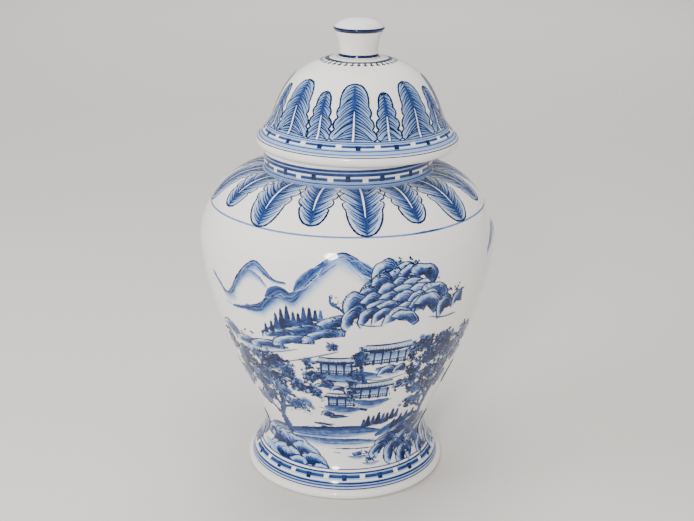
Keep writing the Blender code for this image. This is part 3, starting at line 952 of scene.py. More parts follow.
def repeat_tree():
    """A mark painted about the upright axis, repeated evenly round it."""
    tree, start, end = new_tree("Repeated round", (
        ("Count", "NodeSocketInt", 16), ("Axis", "NodeSocketFloat", 0.0),
        ("Material", "NodeSocketMaterial", None)))
    points = add(tree, "GeometryNodePoints")
    offset = add(tree, "ShaderNodeCombineXYZ")
    index = add(tree, "GeometryNodeInputIndex")
    step = add(tree, "ShaderNodeMath", {0: 2 * math.pi}, operation="DIVIDE")
    angle = add(tree, "ShaderNodeMath", operation="MULTIPLY")
    turn = add(tree, "FunctionNodeAxisAngleToRotation", {"Axis": (0.0, 0.0, 1.0)})
    copies = add(tree, "GeometryNodeInstanceOnPoints")
    real = finished(tree, start, end)
    link_all(tree, (
        (start, "Count", points, "Count"), (start, "Axis", offset, "X"),
        (offset, "Vector", points, "Position"), (start, "Count", step, 1), (index, "Index", angle, 0),
        (step, 0, angle, 1), (angle, 0, turn, "Angle"), (points, "Points", copies, "Points"),
        (start, "Geometry", copies, "Instance"), (turn, "Rotation", copies, "Rotation"),
        (copies, "Instances", real, "Geometry"),
    ))


def grown(name, mesh, tree, values):
    """The plain mesh that a tree makes from a mesh, as an object at the origin."""
    piece = bpy.data.objects.new(name, mesh)
    bpy.context.scene.collection.objects.link(piece)
    modifier = piece.modifiers.new(tree.name, "NODES")
    modifier.node_group = tree
    identifiers = {item.name: item.identifier for item in tree.interface.items_tree
                   if item.item_type == "SOCKET" and item.in_out == "INPUT"}
    for label, value in values.items():
        modifier[identifiers[label]] = value
    view = bpy.context.evaluated_depsgraph_get()
    plain = bpy.data.meshes.new_from_object(piece.evaluated_get(view))
    piece.modifiers.clear()
    piece.data = plain
    plain.name = name
    bpy.data.meshes.remove(mesh)
    return piece


def corner_arrays(mesh):
    """Each corner's place and its own face's normal."""
    places = np.empty(3 * len(mesh.vertices), dtype=np.float32)
    mesh.vertices.foreach_get("co", places)
    corners = np.empty(len(mesh.loops), dtype=np.int32)
    mesh.loops.foreach_get("vertex_index", corners)
    sizes = np.empty(len(mesh.polygons), dtype=np.int32)
    mesh.polygons.foreach_get("loop_total", sizes)
    normals = np.empty(3 * len(mesh.polygons), dtype=np.float32)
    mesh.polygons.foreach_get("normal", normals)
    return places.reshape(-1, 3), corners, np.repeat(normals.reshape(-1, 3), sizes, 0)


def wall_normals(places, tilts, axis):
    turn = np.arctan2(places[:, 0] - axis, -places[:, 1])
    return np.stack((np.cos(tilts) * np.sin(turn), -np.cos(tilts) * np.cos(turn), np.sin(tilts)), 1)


def turned_piece(name, outline, above, below, closed, axis, node, body, material, columns=COLUMNS):
    """One thrown section that takes the place of its node in the frame.

    The profile runs from the points above the outline down its outer side and on through the
    points below it, and closed joins its two ends into a ring. Outer faces are shaded as the
    true curve, so that neighbours meet unseen.
    """
    profile = joined(*above, outline[::-1], *below)
    flat = [(radius - GUIDE_RADIUS, -height, 0.0) for radius, height in profile]
    edges = [(index, index + 1) for index in range(len(flat) - 1)]
    if closed:
        edges.append((len(flat) - 1, 0))
    mesh = bpy.data.meshes.new(name)
    mesh.from_pydata(flat, edges, [])
    piece = grown(name, mesh, bpy.data.node_groups["Turned section"],
                  {"Columns": columns, "Guide Radius": GUIDE_RADIUS, "Axis": axis, "Material": material})
    mesh = piece.data
    mesh.shade_smooth()
    mesh.set_sharp_from_angle(angle=SMOOTH_ANGLE)
    wall = Wall(outline, axis)
    places, corners, face_normals = corner_arrays(mesh)
    radii = np.hypot(places[:, 0] - axis, places[:, 1])
    best = np.full(len(places), np.inf)
    tilts = np.zeros(len(places))
    for point, tilt in zip(outline, wall.tilts):
        apart = np.hypot(radii - point[0], places[:, 2] - point[1])
        nearer = apart < best
        best[nearer] = apart[nearer]
        tilts[nearer] = tilt
    true_normals = wall_normals(places, tilts, axis)[corners]
    outer = (best[corners] < 2 * MERGE_DISTANCE) & ((true_normals * face_normals).sum(1) > FACING_LEAST)
    given = np.empty(3 * len(mesh.loops), dtype=np.float32)
    mesh.corner_normals.foreach_get("vector", given)
    chosen = np.where(outer[:, None], true_normals, given.reshape(-1, 3))
    mesh.normals_split_custom_set(chosen.tolist())
    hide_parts(node)
    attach(piece, body)


def painted_piece(name, brush, body, material, repeats=1, axis=None):
    """The brush's marks as one piece, repeated round the axis where asked."""
    axis = brush.wall.axis if axis is None else axis
    mesh = brush.mesh(name)
    if repeats > 1:
        piece = grown(name, mesh, bpy.data.node_groups["Repeated round"],
                      {"Count": repeats, "Axis": axis, "Material": material})
        mesh = piece.data
    else:
        piece = bpy.data.objects.new(name, mesh)
        bpy.context.scene.collection.objects.link(piece)
        mesh.materials.append(material)
    mesh.shade_smooth()
    tilts = np.empty(len(mesh.vertices), dtype=np.float32)
    mesh.attributes["tilt"].data.foreach_get("value", tilts)
    places, _, _ = corner_arrays(mesh)
    mesh.normals_split_custom_set_from_vertices(wall_normals(places, tilts, axis).tolist())
    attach(piece, body)


def inside(outline, wall):
    """The inner face of a wall, running up, with level ends and a third of the outer points."""
    slope = np.gradient(outline, axis=0)
    slope /= np.hypot(slope[:, 0], slope[:, 1])[:, None]
    inner = outline + wall * np.stack((-slope[:, 1], slope[:, 0]), 1)
    kept = np.append(np.arange(0, len(outline) - 1, 3), len(outline) - 1)
    inner[0][1] = outline[0][1]
    inner[-1][1] = outline[-1][1]
    return inner[kept]


# ------------------------------------------------------------------ painted scenes and borders


def paint_far_mountains(brush):
    mountain(brush, ((-61, 166), (-56, 159), (-52, 154), (-48, 160), (-44, 170), (-39, 180), (-35, 184),
                     (-31, 180), (-27, 174), (-22, 173)),
             (4, 5, 8, 13, 15, 15, 13, 8, 4, 2), (0.50, 0.60, 0.56, 0.50, 0.52, 0.44, 0.50, 0.46, 0.56, 0.62),
             DEEP, 0.6, drags=22)
    mountain(brush, ((-46, 160), (-42, 170), (-38, 176), (-34, 175), (-30, 168)), (4, 8, 9, 7, 3),
             (0.30, 0.40, 0.30, 0.34, 0.30), SOFT)
    wash(brush, ((-55, 152), (-51, 149), (-46, 152)), 5.0, (PALE, HAZE, BARE))
    mountain(brush, ((-50, 145), (-41, 149), (-34, 154), (-30, 161), (-25, 168), (-20, 166), (-16, 175),
                     (-12, 184), (-7, 191), (-2, 195), (2, 193), (7, 187), (13, 180)),
             (2, 4, 9, 15, 17, 14, 18, 22, 21, 17, 17, 19, 15),
             (0.36, 0.50, 0.66, 0.74, 0.76, 0.78, 0.72, 0.66, 0.50, 0.26, 0.50, 0.66, 0.64), DEEP, 0.7,
             drags=46)
    washes(brush, ((((-31, 160), (-26, 166), (-20, 164)), 4.5, (SOFT, COBALT, SOFT, HAZE)),
                   (((-19, 168), (-14, 178), (-9, 186)), 5.0, (PALE, COBALT, SOFT, HAZE)),
                   (((1, 190), (6, 185), (11, 179)), 5.0, (PALE, SOFT, SOFT, HAZE))))
    shore(brush, (((-49, 146), (-42, 147), (-35, 151)), ((-55, 146), (-50, 145), (-46, 146))), DEEP, 0.5)


def paint_fir_ridge(brush):
    washes(brush, (
        (((-60, 121), (-50, 116), (-42, 117), (-33, 119), (-24, 122)), 6.0, (COBALT, SOFT, HAZE, BARE)),
        (((-36, 130), (-26, 135), (-14, 139), (-2, 146)), 8.0, (SOFT, COBALT, COBALT, SOFT, HAZE))))
    boulders(brush, (
        (-5, 143, 27, 8, 0.32), (-17, 137, 30, 7, 0.25), (-28, 131, 27, 6, 0.20), (-58, 122, 19, 8, -0.25),
        (-47, 117, 28, 6, 0.05), (-35, 120, 30, 6, 0.15), (-22, 127, 32, 7, 0.22), (-9, 134, 30, 7, 0.28)),
        COBALT, 6)
    firs(brush, ((-33, 132, 8.0, DARK), (-30, 134, 9.5, DEEP), (-27.5, 136, 14.5, COBALT),
                 (-25, 138, 16.5, DARK), (-22.5, 139.5, 18.0, DEEP), (-20, 141, 12.5, COBALT),
                 (-18, 142, 11.0, DARK), (-15.8, 143, 15.0, COBALT), (-13.6, 145, 13.0, DARK),
                 (-11.4, 147, 9.5, DEEP), (-9.4, 148, 8.5, SOFT)))
    bushes(brush, ((-58, 128), (-49, 124), (-46, 127), (-42, 127), (-35, 130), (-30, 133), (-5, 150)), 5, 1.8)
    for path in (((1, 150), (-1.5, 156), (-5, 162)), ((-0.5, 154), (0, 160), (-0.4, 166)),
                 ((0, 152), (3, 158), (4, 163)), ((-2.5, 158), (-5.5, 161), (-6, 167))):
        trunk(brush, path, 1.0, DEEP)
    bushes(brush, ((-4, 162), (-1, 161), (2, 157), (0, 156), (3, 162), (-5, 166), (0, 166)), 7, 2.4, 0.75)


def paint_boulder_hill(brush):
    for line in (((11, 180), (18, 184), (26, 180)), ((8, 172), (19, 175), (31, 171)),
                 ((7, 163), (18, 165), (32, 163)), ((6, 155), (17, 156), (30, 155))):
        wash(brush, line, 6.5, (PALE, SOFT, SOFT, PALE))
    heap(brush, ((181, 15, 26), (176, 10, 30), (170.5, 8, 34), (165, 6, 35), (159.5, 4, 35), (154, 2, 33),
                 (148.5, 2, 28)), 17.5, 8.5)
    bushes(brush, ((11, 180), (13, 183), (19, 189), (23, 190), (26, 187), (31, 181), (34, 174), (7, 173),
                   (18, 184), (22, 180), (35, 168), (36, 162)), 7, 2.2)
    boulder(brush, (40, 149), 15, 11, 0.6, DEEP, 5)
    boulder(brush, (46, 152), 10, 9, 0.3, COBALT, 4)
    bushes(brush, ((37, 158), (41, 162), (45, 163), (48, 160), (43, 157)), 7, 2.4)
    shore(brush, (((2, 149), (7, 145), (14, 144)), ((33, 146), (40, 143), (47, 143)),
                  ((-45, 112), (-33, 116), (-20, 123)), ((-24, 112), (-12, 119), (-3, 124)),
                  ((-40, 106), (-30, 109), (-22, 113))), COBALT, 0.5)


def paint_pavilions(brush):
    wash(brush, ((-16, 104), (-3, 100), (8, 102), (17, 101)), 7.0, (COBALT, SOFT, PALE, BARE))
    pavilion(brush, (-4, 104), 25, 10.5, 5.0, 5)
    pavilion(brush, (17, 112), 34, 12.5, 5.5, 6)
    wash(brush, ((13, 108), (20, 105), (27, 107)), 6.5, (SOFT, SOFT, PALE, BARE))
    boulder(brush, (18, 104), 12, 7, 0.1, COBALT, 4)
    boulders(brush, ((24, 105, 9, 6, 0.0), (-11, 92, 11, 4.5, 0.0), (-4, 90, 10, 4.5, 0.0),
                     (3, 91, 11, 4.5, 0.0), (-10, 66, 9, 4.5, 0.0), (8, 71, 9, 4.5, 0.0)), COBALT, 3)
    pavilion(brush, (-2, 75), 21, 9.0, 4.2, 4)
    pavilion(brush, (12, 82), 30, 10.5, 5.5, 5)
    for line in (((-11, 74), (-1, 71), (8, 72)), ((4, 80), (13, 76), (23, 79))):
        wash(brush, line, 5.0, (COBALT, SOFT, HAZE))
    shore(brush, (((-14, 73), (-2, 70), (9, 72)), ((4, 79), (13, 76), (25, 79)),
                  ((-15, 101), (-3, 98), (6, 99)), ((4, 102), (16, 98), (29, 101))), DEEP, 0.5)
    bushes(brush, ((-12, 108), (-14, 113), (2, 104), (4, 108), (29, 112), (2, 80), (5, 84), (-12, 80)),
           6, 2.2)
    trunk(brush, ((9, 96), (7, 107), (6.5, 116), (5.5, 124)), 1.5)
    trunk(brush, ((-16, 96), (-12, 101), (-7, 108)), 1.2)
    for place, reach, count in (((6, 118), (5.5, 9), 40), ((5, 103), (4.5, 6), 20), ((-5, 128), (4, 3), 10),
                                ((-12, 102), (5, 4), 18), ((-8, 96), (5, 3), 14), ((-16, 112), (4, 6), 14),
                                ((29, 118), (3, 6), 12), ((3, 97), (5, 4), 12), ((-14, 86), (4, 4), 12),
                                ((27, 92), (4, 5), 12), ((3, 88), (4, 4), 10)):
        foliage(brush, place, reach, count, DEEP, 0.8)


def shadow(brush, turn, height, size):
    """The soft shade inside a tree's crown."""
    wash(brush, ((turn, height), (turn + size / 2, height + 3), (turn + size, height)), 0.6 * size,
         (HAZE, SOFT, SOFT, HAZE))


def paint_left_tree(brush):
    for turn, height, size in ((-47, 108, 8), (-35, 102, 9), (-53, 90, 8), (-41, 88, 8), (-27, 92, 7),
                               (-25, 74, 7)):
        shadow(brush, turn, height, size)
    trunk(brush, ((-37, 42), (-40, 50), (-40.5, 58), (-37.5, 67), (-36, 76), (-37, 88)), 2.7)
    for path in (((-38, 65), (-43, 74), (-51, 84)), ((-37, 70), (-32, 80), (-30, 92)),
                 ((-36, 78), (-41, 90), (-42, 102)), ((-40.5, 56), (-47, 64), (-53, 69)),
                 ((-37, 66), (-29, 70), (-22, 76))):
        trunk(brush, path, 1.4)
    for centre, reach, count, tone in (
            ((-51, 104), (8, 9), 34, DARK), ((-38, 107), (9, 9), 46, DARK), ((-28, 101), (7, 9), 34, DEEP),
            ((-58, 88), (7, 9), 28, DEEP), ((-46, 86), (8, 7), 34, DEEP), ((-23, 90), (7, 6), 22, DEEP),
            ((-33, 82), (7, 6), 24, COBALT), ((-26, 73), (9, 6), 28, COBALT), ((-51, 68), (6, 5), 20, COBALT),
            ((-17, 101), (4, 5), 12, DEEP), ((-16, 90), (4, 4), 10, DEEP), ((-42, 96), (8, 6), 26, DEEP),
            ((-57, 98), (6, 9), 24, DEEP), ((-35, 94), (6, 6), 22, DARK), ((-44, 77), (7, 6), 20, COBALT),
            ((-63, 80), (5, 9), 20, COBALT), ((-31, 110), (7, 4), 20, DARK), ((-62, 110), (6, 8), 20, DEEP)):
        foliage(brush, centre, reach, count, tone)
    dots(brush, (-37, 110), (16, 10), 60)
    dots(brush, (-25, 70), (11, 7), 46)
    dots(brush, (-50, 75), (12, 10), 40)


def paint_right_tree(brush):
    for turn, height, size in ((30, 122, 8), (44, 122, 8), (36, 108, 9), (48, 110, 8), (38, 94, 8),
                               (36, 80, 7)):
        shadow(brush, turn, height, size)
    trunk(brush, ((53, 46), (51, 58), (50.5, 72), (52, 88), (54, 104)), 2.4)
    for path in (((51, 70), (44, 80), (38, 88)), ((51.5, 82), (44, 96), (38, 108)),
                 ((53, 96), (59, 108), (64, 116)), ((50.5, 62), (42, 68), (36, 72))):
        trunk(brush, path, 1.4)
    for centre, reach, count, tone in (
            ((34, 124), (9, 7), 36, DARK), ((46, 124), (10, 7), 40, DEEP), ((39, 111), (10, 8), 44, DEEP),
            ((52, 112), (9, 8), 36, DEEP), ((42, 97), (9, 7), 34, DEEP), ((37, 85), (8, 5), 26, COBALT),
            ((47, 84), (8, 6), 26, DEEP), ((39, 73), (8, 5), 24, COBALT), ((60, 122), (7, 8), 20, COBALT),
            ((61, 104), (7, 8), 20, COBALT), ((32, 103), (6, 6), 20, DEEP), ((50, 98), (8, 7), 24, DEEP),
            ((33, 94), (5, 5), 14, COBALT), ((55, 86), (6, 7), 20, DEEP), ((44, 116), (9, 5), 24, DARK)):
        foliage(brush, centre, reach, count, min(tone + 0.08, DARK))
    dots(brush, (40, 104), (16, 16), 60)


def paint_lake(brush):
    washes(brush, (
        (((-64, 38), (-52, 43), (-40, 45), (-30, 46)), 3.5, (COBALT, SOFT, HAZE)),
        (((-42, 43), (-24, 46), (-6, 49), (12, 50), (24, 48)), 7.5, (DEEP, COBALT, SOFT, SOFT, PALE, HAZE)),
        (((-36, 39), (-14, 38), (6, 39), (24, 38)), 5.5, (SOFT, SOFT, PALE, HAZE, BARE)),
        (((20, 44), (30, 50), (42, 55), (52, 56)), 6.0, (SOFT, COBALT, SOFT, PALE)),
        (((-19, 57), (-13, 56), (-6, 57)), 1.6, (COBALT, SOFT, HAZE)),
        (((-12, 65), (-5, 64), (2, 65)), 1.6, (COBALT, SOFT, HAZE))))
    shore(brush, (((-62, 40), (-48, 45), (-40, 46), (-28, 49), (-14, 52), (0, 55), (12, 55), (20, 54)),),
          DEEP, 0.8)
    shore(brush, (((-62, 37), (-48, 42), (-40, 43), (-30, 46), (-18, 49), (-4, 52), (8, 52), (18, 52)),
                  ((-44, 40), (-28, 43), (-12, 45), (6, 45)), ((-30, 40), (-14, 42), (4, 42), (20, 41)),
                  ((-22, 37), (-6, 38), (14, 38)), ((-10, 34), (6, 34), (22, 34)),
                  ((2, 49), (12, 49), (22, 48))), COBALT, 0.5)
    shore(brush, (((-12, 65), (-5, 66), (2, 65)), ((-9, 63.5), (-4, 63.5)), ((-19, 56), (-13, 57), (-7, 55)),
                  ((-15, 54), (-10, 54))), DARK, 1.1)
    bushes(brush, ((-7, 66), (-1, 66), (-14, 57)), 5, 1.8, 0.7)
    shore(brush, (((6, 30), (12, 29.5), (19, 30)), ((9, 27), (14, 27)), ((-8, 31), (-2, 30.5))), SOFT, 0.5)
    washes(brush, ((((2, 28), (9, 27), (17, 28)), 1.6, (SOFT, PALE, HAZE)),
                   (((12, 23), (18, 22), (24, 23)), 1.4, (SOFT, PALE, HAZE))))
    foliage(brush, (9, 30), (6, 1.6), 9, COBALT, 0.6)
    foliage(brush, (17, 25), (5, 1.6), 8, COBALT, 0.6)
    firs(brush, ((11, 54, 9.0, COBALT), (13.5, 54, 12.5, DARK), (16.5, 55, 11.0, COBALT),
                 (19.5, 55, 14.0, DARK), (22.5, 55, 12.0, COBALT), (25, 56, 11.0, DEEP),
                 (28, 58, 12.0, DARK), (31, 59, 10.0, COBALT)))


def paint_foreground(brush):
    wash(brush, ((-72, 22), (-62, 20), (-50, 17), (-38, 19)), 6.0, (PALE, HAZE, BARE))
    boulders(brush, (
        (-62, 28, 22, 14, -0.35), (-52, 27, 26, 15, -0.50), (-43, 28, 28, 14, -0.75),
        (-57, 19, 18, 10, -0.3), (-35, 27, 28, 13, -0.80), (-48, 19, 24, 11, -0.65),
        (-39, 19, 24, 10, -0.70), (-28, 24, 26, 11, -0.75), (-31, 17, 20, 8, -0.65),
        (-21, 20, 22, 9, -0.70), (-22, 15, 16, 6, -0.6), (-14, 16, 18, 6, -0.65),
        (46, 44, 26, 12, 0.75), (37, 40, 25, 11, 0.80), (56, 38, 22, 13, 0.55), (29, 34, 22, 9, 0.70),
        (46, 32, 24, 12, 0.75), (63, 30, 20, 13, 0.4), (36, 27, 20, 9, 0.80), (54, 24, 20, 12, 0.55),
        (45, 21, 18, 10, 0.65), (24, 31, 16, 5, 0.45), (65, 20, 16, 10, 0.3)), COBALT * 1.25, 6)
    bushes(brush, ((-60, 34), (-52, 35), (-27, 27), (-24, 24), (-33, 29), (-65, 33), (26, 36), (24, 29),
                   (34, 45), (42, 50), (49, 52), (38, 24), (58, 42), (-21, 20)), 6, 2.0)
    firs(brush, ((31, 49, 9.5, DEEP), (35, 52, 11.0, DARK), (39, 54, 10.0, COBALT), (44, 55, 9.0, DEEP)))


def paint_back_scene(brush):
    """The side turned away: mountains, a boulder hill, two pavilions and rocks by the same lake."""
    for ridge, depths, crests, drags in (
            (((100, 150), (108, 158), (116, 172), (123, 186), (130, 191), (138, 184), (147, 172), (156, 168)),
             (5, 9, 15, 18, 16, 18, 14, 6), (0.4, 0.55, 0.6, 0.4, 0.25, 0.5, 0.6, 0.5), 26),
            (((176, 158), (185, 166), (194, 178), (202, 184), (210, 178), (219, 168), (228, 160)),
             (5, 9, 14, 16, 15, 11, 5), (0.4, 0.5, 0.55, 0.3, 0.5, 0.55, 0.5), 20),
            (((232, 176), (240, 188), (247, 193), (255, 184), (262, 172), (270, 162), (280, 158)),
             (8, 14, 16, 16, 13, 9, 4), (0.5, 0.55, 0.3, 0.5, 0.6, 0.55, 0.5), 20),
            (((66, 180), (72, 188), (78, 193), (86, 186), (94, 174), (102, 166)),
             (7, 12, 15, 16, 12, 6), (0.5, 0.55, 0.3, 0.55, 0.6, 0.5), 18)):
        mountain(brush, ridge, depths, crests, DEEP, 0.6, drags=drags)
    heap(brush, ((174, 152, 166), (168, 148, 170), (162, 146, 173), (156, 144, 174), (150, 143, 172),
                 (145, 145, 168)), 16.5, 8.5)
    bushes(brush, ((150, 175), (158, 178), (166, 177), (171, 170), (145, 166), (174, 160)), 7, 2.3)
    mountain(brush, ((176, 140), (186, 146), (196, 144), (206, 149), (217, 144), (228, 138)),
             (6, 9, 8, 9, 8, 5), (0.5, 0.42, 0.58, 0.42, 0.55, 0.5), COBALT, 0.55, 4)
    firs(brush, ((184, 146, 7, DEEP), (187.2, 146, 11, COBALT), (190.4, 146, 14, DEEP),
                 (193.6, 146, 9, SOFT), (196.8, 146, 12, DARK), (200, 146, 8, COBALT)))
    for line in (((136, 107), (152, 104), (170, 107)), ((190, 97), (205, 94), (221, 98))):
        wash(brush, line, 6.0, (COBALT, SOFT, PALE, BARE))
    pavilion(brush, (152, 108), 32, 12, 5.5, 6)
    pavilion(brush, (205, 98), 28, 11, 5.0, 5)
    shore(brush, (((132, 104), (150, 101), (172, 104)), ((188, 94), (205, 91), (222, 95)),
                  ((90, 60), (120, 66), (150, 62), (180, 66), (210, 62), (240, 66), (270, 60)),
                  ((100, 55), (140, 57), (180, 56), (220, 58), (260, 55))), COBALT, 0.5)
    wash(brush, ((96, 56), (130, 60), (170, 58), (210, 60), (262, 56)), 7.0, (PALE, HAZE, PALE, BARE))
    boulders(brush, (
        (100, 30, 24, 14, 0.3), (112, 27, 26, 14, 0.5), (126, 24, 24, 11, 0.5), (140, 20, 20, 8, 0.5),
        (154, 19, 18, 6, 0.4), (202, 19, 18, 6, -0.4), (214, 21, 20, 8, -0.5), (226, 25, 24, 12, -0.5),
        (240, 29, 26, 14, -0.5), (254, 27, 24, 13, -0.4), (88, 26, 22, 13, 0.4), (266, 24, 22, 12, -0.3),
        (276, 30, 22, 14, -0.4), (76, 30, 22, 14, 0.5), (106, 18, 20, 9, 0.4), (120, 17, 20, 8, 0.5),
        (233, 17, 20, 8, -0.5), (248, 18, 22, 9, -0.4), (94, 18, 18, 8, 0.3), (260, 17, 18, 8, -0.3),
        (272, 18, 18, 9, -0.3), (82, 18, 18, 9, 0.3)), COBALT, 5)
    bushes(brush, ((96, 38), (108, 38), (120, 34), (228, 34), (242, 38), (258, 36), (272, 38), (82, 36)),
           6, 2.2)


def paint_back_trees(brush):
    """Leafy trees by the far shore: (turn, ground, how tall, clumps of leaves)."""
    for turn, ground, tall, clumps in ((240, 60, 66, 9), (106, 60, 62, 9), (176, 82, 36, 4), (268, 50, 42, 4),
                                       (84, 44, 44, 4)):
        trunk(brush, ((turn, ground), (turn - 3, ground + 0.3 * tall), (turn - 1, ground + 0.55 * tall),
                      (turn + 2, ground + 0.85 * tall)), 2.4)
        for side in (-1, 1):
            trunk(brush, ((turn - 2, ground + 0.35 * tall), (turn + side * 0.10 * tall, ground + 0.55 * tall),
                          (turn + side * 0.20 * tall, ground + 0.75 * tall)), 1.3)
        for index in range(clumps):
            around = 2 * math.pi * index / clumps
            reach = (0.22, 0.09)[index % 2] * tall
            place = (turn + 0.9 * reach * math.cos(around), ground + 0.78 * tall + reach * math.sin(around))
            foliage(brush, place, (8, 7), 22, DEEP)


def rectangle(brush, spot, x, y, tone):
    """A small upright block between two offsets each way, in millimetres."""
    low, top = ([(x[0] + (x[1] - x[0]) * share, side) for share in (0.0, 0.25, 0.5, 0.75, 1.0)] for side in y)
    brush.patch(brush.near(spot, top), brush.near(spot, low), tone)


def fret_unit(brush, units, height, thick, way):
    """A dash between two bare blocks, with a dark square on one side of its middle."""
    spot = brush.spots((0.0, height))[0]
    pitch = 2 * math.pi * float(brush.wall.radius(spot[1])) / units / MM
    dash = pitch / 2 - 1.6
    for share in (-0.5, 0.5):
        rectangle(brush, spot, sorted((share * 0.1, share * 2 * dash)), (-thick / 2, thick / 2),
                  ((DEEP, DARK),))
    brush.over()
    rectangle(brush, spot, (pitch / 2 - 1.9, pitch / 2 + 1.9), (-thick * 0.5 - 0.7, thick * 0.5 + 0.7), BARE)
    brush.over()
    rectangle(brush, spot, (-1.7, 1.7), sorted((-way * thick * 0.6, way * (thick * 0.5 + 1.9))), INK * 0.96)


def bands(brush, marks):
    """Rings round the piece: (height, width in millimetres, tone)."""
    for height, width, tone in marks:
        brush.ring(float(brush.wall.at_height(height * MM)), width * MM, tone, 0.05 * MM)
        brush.over()


def leaves(brush, count, foot, way, sorts, style):
    """Sorts of leaf in turns round a wall, each (first turn, height of the tip, half widths, lobes)."""
    for start, tip, widths, lobes in sorts:
        length = way * (float(brush.wall.at_height(tip * MM)) - foot) / MM
        for index in range(count):
            leaf(brush, start + index * 360 / count, foot, way, length, widths, lobes, *style)
            brush.layer = LEAF_LAYER if index < count - 1 else TOP_LEAF_LAYER


def paint_border(context, part, body, lines, fret, marks, unit):
    """The lines round a part, and the fret on them: each has its wall, seed and first layer."""
    settings = context.scene.ginger_jar_brush
    cobalt = bpy.data.materials["Border cobalt"]
    wall, seed, layer = lines
    brush = Brushwork(wall, settings.seed + seed, layer)
    bands(brush, marks)
    painted_piece(part + "_lines", brush, body, cobalt)
    repeated, seed, layer = fret
    brush = Brushwork(repeated, settings.seed + seed, layer)
    fret_unit(brush, settings.fret_units, *unit)
    painted_piece(part + "_fret", brush, body, cobalt, settings.fret_units, wall.axis)


def paint_scenes(context, scenes):
    """The landscape's pieces: (name, what paints it, seed, first layer)."""
    for name, paint, seed, layer in scenes:
        brush = Brushwork(JAR_WALL, context.scene.ginger_jar_brush.seed + seed, layer, LANDSCAPE_BOLDNESS,
                          LANDSCAPE_STRENGTH)
        paint(brush)
        painted_piece(name, brush, "jar", bpy.data.materials["Landscape cobalt"])


# ------------------------------------------------------------------ settings


def colour_setting(name, description, default):
    return FloatVectorProperty(
        name=name, description=description, subtype="COLOR", default=default, min=0.0, max=1.0)


class GingerJarGlaze(bpy.types.PropertyGroup):
    """Colours of the porcelain, its glaze and the cobalt at each strength."""

    glaze_white: colour_setting("Glaze", "Clear glaze over white porcelain", (0.87, 0.855, 0.835))
    glaze_warm: colour_setting("Warm glaze", "Glaze where it drifts warmer", (0.86, 0.835, 0.80))
    knob_white: colour_setting("Knob glaze", "The slightly pink glaze of the knob", (0.84, 0.80, 0.79))
    wash_blue: colour_setting("Wash", "Cobalt thinned to a wash", (0.30, 0.42, 0.66))
    cobalt_blue: colour_setting("Cobalt", "Cobalt at full strength", (0.040, 0.098, 0.30))
    deep_blue: colour_setting("Deep cobalt", "Cobalt laid twice", (0.009, 0.030, 0.130))
    ink_blue: colour_setting("Ink", "Cobalt pooled to blue-black", (0.003, 0.009, 0.045))
    biscuit: colour_setting("Biscuit", "Bare fired clay", (0.62, 0.54, 0.44))
    ripple: FloatProperty(
        name="Ripple", description="How strongly the glaze surface ripples", subtype="FACTOR",
        default=0.25, min=0.0, max=1.0)
    speck_size: FloatProperty(
        name="Speck size", description="Size of iron specks against their spacing", subtype="FACTOR",
        default=0.035, min=0.0, max=0.2)


class GingerJarBrush(bpy.types.PropertyGroup):
    """Counts and the seed of the brushwork."""

    seed: IntProperty(name="Seed", description="Start of the hand's unevenness", default=11, min=0)
    fret_units: IntProperty(
        name="Fret units", description="Dashes round each border", default=16, min=4, max=48)
    leaf_pairs: IntProperty(
        name="Leaf pairs", description="Large and small leaves round the lid and shoulder", default=8,
        min=3, max=16)
    crown_rays: IntProperty(
        name="Crown rays", description="Rays round the ring under the knob", default=36, min=6, max=80)


class GingerJarStage(bpy.types.PropertyGroup):
    """Where the camera stands and how the stage is lit."""

    distance: FloatProperty(
        name="Distance", description="From the jar's axis to the camera", subtype="DISTANCE", unit="LENGTH",
        default=0.827, min=0.2)
    height: FloatProperty(
        name="Height", description="The camera's height over the floor", subtype="DISTANCE", unit="LENGTH",
        default=0.4404, min=0.0)
    pitch: FloatProperty(
        name="Pitch", description="How far the camera looks down", subtype="ANGLE",
        default=math.radians(19.03))
    roll: FloatProperty(
        name="Roll", description="How far the camera is turned about its own axis", subtype="ANGLE",
        default=math.radians(0.7))
    lens: FloatProperty(
        name="Lens", description="Focal length", subtype="DISTANCE_CAMERA", default=62.65, min=10)
    floor: colour_setting("Floor", "Colour of the floor", (0.66, 0.625, 0.58))
    key_power: FloatProperty(
        name="Key", description="Power of the lamp by the camera", default=10.5, min=0.0)
    fill_power: FloatProperty(name="Fill", description="Power of the soft boxes", default=10.0, min=0.0)


# ------------------------------------------------------------------ operators


class GINGERJAR_OT_finishes(bpy.types.Operator):
    """Makes the node groups, the glazes and the trees that the pieces are made with"""

    bl_idname = "ginger_jar.finishes"
    bl_label = "Glazes and pigments"

    def execute(self, context):
        settings = context.scene.ginger_jar_glaze
        glaze_surface_group()
        cobalt_group()
        turned_tree()
        repeat_tree()
        glazed_material("White glaze", settings, None, settings.speck_size)
        glazed_material("Knob glaze", settings, settings.knob_white)
        painted_material("Landscape cobalt", settings, 0.85)
        painted_material("Border cobalt", settings, 0.35)
        biscuit_material("Bare biscuit", settings)
        return {"FINISHED"}


